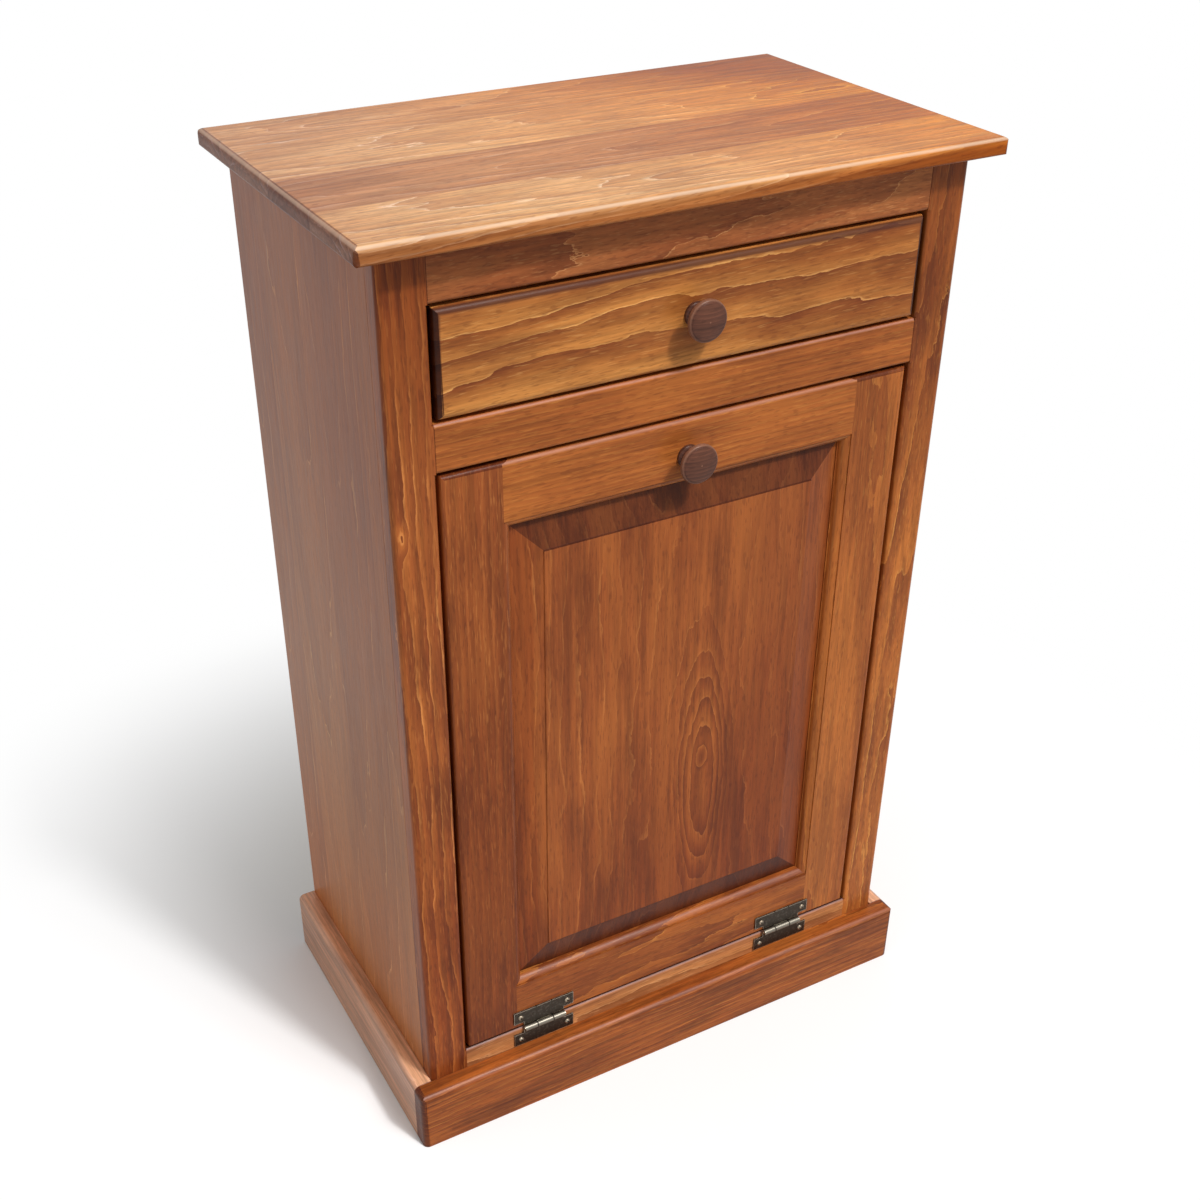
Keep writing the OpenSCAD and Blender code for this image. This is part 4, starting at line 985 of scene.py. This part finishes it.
# %% One screw
ball = add_node(screws, "GeometryNodeMeshUVSphere", Segments=24, Rings=16, Radius=1.0)
squash = add_node(screws, XYZ, X=(size, "Head radius"),
                  Y=(size, "Head radius"), Z=(size, "Head height"))
dome = add_node(screws, "GeometryNodeTransform", Geometry=(ball, 0), Scale=(squash, 0))
top = add_node(screws, XYZ, Z=(size, "Head height"))
pit = add_node(screws, "GeometryNodeMeshCylinder", Vertices=16, Radius=(size, "Recess radius"),
               Depth=(size, "Head height"))
pit_set = add_node(screws, "GeometryNodeTransform", Geometry=(pit, 0), Translation=(top, 0))
bar_size = add_node(screws, XYZ, X=(size, "Slot length"),
                    Y=(size, "Slot width"), Z=(size, "Head height"))
bar = add_node(screws, "GeometryNodeMeshCube", Size=(bar_size, 0))
bar_a = add_node(screws, "GeometryNodeTransform", Geometry=(bar, 0), Translation=(top, 0))
bar_b = add_node(screws, "GeometryNodeTransform", Geometry=(bar, 0), Translation=(top, 0),
                 Rotation=(0.0, 0.0, radians(90)))
head = add_node(screws, "GeometryNodeMeshBoolean", {"operation": "DIFFERENCE", "solver": "EXACT"},
                Mesh_1=(dome, 0), Mesh_2=[(pit_set, 0), (bar_a, 0), (bar_b, 0)])
shank = add_node(screws, "GeometryNodeMeshCylinder", Vertices=16, Radius=(size, "Shank radius"),
                 Depth=(size, "Shank length"))
shank_sink = add_node(screws, MATH, "MULTIPLY", i0=(size, "Shank length"), i1=-0.5)
shank_place = add_node(screws, XYZ, Z=(shank_sink, 0))
shank_set = add_node(screws, "GeometryNodeTransform", Geometry=(shank, 0),
                     Translation=(shank_place, 0))
screw = add_node(screws, "GeometryNodeJoinGeometry", Geometry=[(head, 0), (shank_set, 0)])

# %% [markdown]
# No two crosses line up, because a screw stops where it is tight. So every screw gets a
# turn of its own, up to a quarter. The finished row stands in for the CAD screws.

# %% A screw in every hole
TURN_SEED = 5

turn_by = add_node(screws, "FunctionNodeRandomValue", {"data_type": "FLOAT"}, i2=0.0,
                   i3=radians(90), Seed=TURN_SEED)
own_turn = add_node(screws, XYZ, X=radians(90), Y=(turn_by, 1))
own_turned = add_node(screws, "FunctionNodeEulerToRotation", Euler=(own_turn, 0))
driven = add_node(screws, "GeometryNodeInstanceOnPoints", Points=(holes, 0), Instance=(screw, 0),
                  Rotation=(own_turned, 0))
real = add_node(screws, "GeometryNodeRealizeInstances", Geometry=(driven, 0))
coated = add_node(screws, "GeometryNodeSetMaterial", Geometry=(real, 0), Material=(size, "Finish"))
add_node(screws, "NodeGroupOutput", Geometry=(coated, 0))

# %% Drive the screws
HOLE_SPACING, LEAF_FACE = 49.5, -146.0
SCREW_ROWS = {"frame_hinge_screws": 75.05, "door_hinge_screws": 103.45}
HEAD_RADIUS, HEAD_HEIGHT, SHANK_RADIUS, SHANK_LENGTH = 2.8, 1.8, 1.45, 12.9
RECESS_RADIUS, SLOT_LENGTH, SLOT_WIDTH = 1.15, 3.2, 0.6

for node, height in SCREW_ROWS.items():
    lengths = {"First hinge": -HINGE_MIDDLE, "Hinge step": 2 * HINGE_MIDDLE,
               "First hole": -HOLE_SPACING / 2, "Hole step": HOLE_SPACING,
               "Face": LEAF_FACE, "Height": height, "Head radius": HEAD_RADIUS,
               "Head height": HEAD_HEIGHT, "Recess radius": RECESS_RADIUS,
               "Slot length": SLOT_LENGTH, "Slot width": SLOT_WIDTH,
               "Shank radius": SHANK_RADIUS, "Shank length": SHANK_LENGTH}
    values = {SCREW[name]: length * MM for name, length in lengths.items()}
    values[SCREW["Finish"]] = screw_brass
    mesh = finished_mesh(node, screws, values)
    piece = place_piece(node + "_made", mesh, screw_brass, BODY_OF[node])
    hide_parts(node)
    print(node, "faces:", len(mesh.polygons))

# %% [markdown]
# ## Nails round the back panel
# A back panel lies in rabbets of the sides and is held with small nails. A tree runs a
# rectangle round the panel, sets points a hand's width apart and puts a flat head on each.

# %% Nail tree
nails = bpy.data.node_groups.new("panel_nails", "GeometryNodeTree")
NAIL = named_inputs(nails, ["Width", "Height", "Middle height", "Face", "Spacing",
                            "Head radius", "Head thickness"])
size = add_node(nails, "NodeGroupInput")
outline = add_node(nails, "GeometryNodeCurvePrimitiveQuadrilateral", {"mode": "RECTANGLE"},
                   Width=(size, "Width"), Height=(size, "Height"))
place = add_node(nails, XYZ, Y=(size, "Face"), Z=(size, "Middle height"))
stood = add_node(nails, "GeometryNodeTransform", Geometry=(outline, 0), Translation=(place, 0),
                 Rotation=(radians(90), 0.0, 0.0))
spaced = add_node(nails, "GeometryNodeResampleCurve", {"mode": "LENGTH"}, Curve=(stood, 0),
                  Length=(size, "Spacing"))
flat_head = add_node(nails, "GeometryNodeMeshUVSphere", Segments=12, Rings=8, Radius=1.0)
squeeze = add_node(nails, XYZ, X=(size, "Head radius"),
                   Y=(size, "Head thickness"), Z=(size, "Head radius"))
pressed = add_node(nails, "GeometryNodeTransform", Geometry=(flat_head, 0), Scale=(squeeze, 0))
set_in = add_node(nails, "GeometryNodeInstanceOnPoints", Points=(spaced, 0), Instance=(pressed, 0))
real = add_node(nails, "GeometryNodeRealizeInstances", Geometry=(set_in, 0))
coated = add_node(nails, "GeometryNodeSetMaterial", Geometry=(real, 0), Material=(size, "Finish"))
add_node(nails, "NodeGroupOutput", Geometry=(coated, 0))

# %% Drive the nails
NAIL_INSET, NAIL_SPACING, NAIL_RADIUS, NAIL_PROUD = 5.0, 80.0, 1.6, 0.5
low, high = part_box("back_panel")
lengths = {"Width": (high[0] - low[0]) / MM - 2 * NAIL_INSET,
           "Height": (high[2] - low[2]) / MM - 2 * NAIL_INSET,
           "Middle height": (high[2] + low[2]) / 2 / MM, "Face": high[1] / MM,
           "Spacing": NAIL_SPACING, "Head radius": NAIL_RADIUS, "Head thickness": NAIL_PROUD}
values = {NAIL[name]: length * MM for name, length in lengths.items()}
values[NAIL["Finish"]] = zinc
mesh = finished_mesh("back_nails", nails, values)
place_piece("back_nails", mesh, zinc, "cabinet")
print("nails, faces:", len(mesh.polygons))

# %% [markdown]
# ## Size
# The box round everything that renders, with the dressed pieces in place of the CAD
# nodes, is printed.

# %% Size of the dressed model
low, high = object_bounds()
print("visual box:", [round(float(v), 4) for v in (*low, *high)])
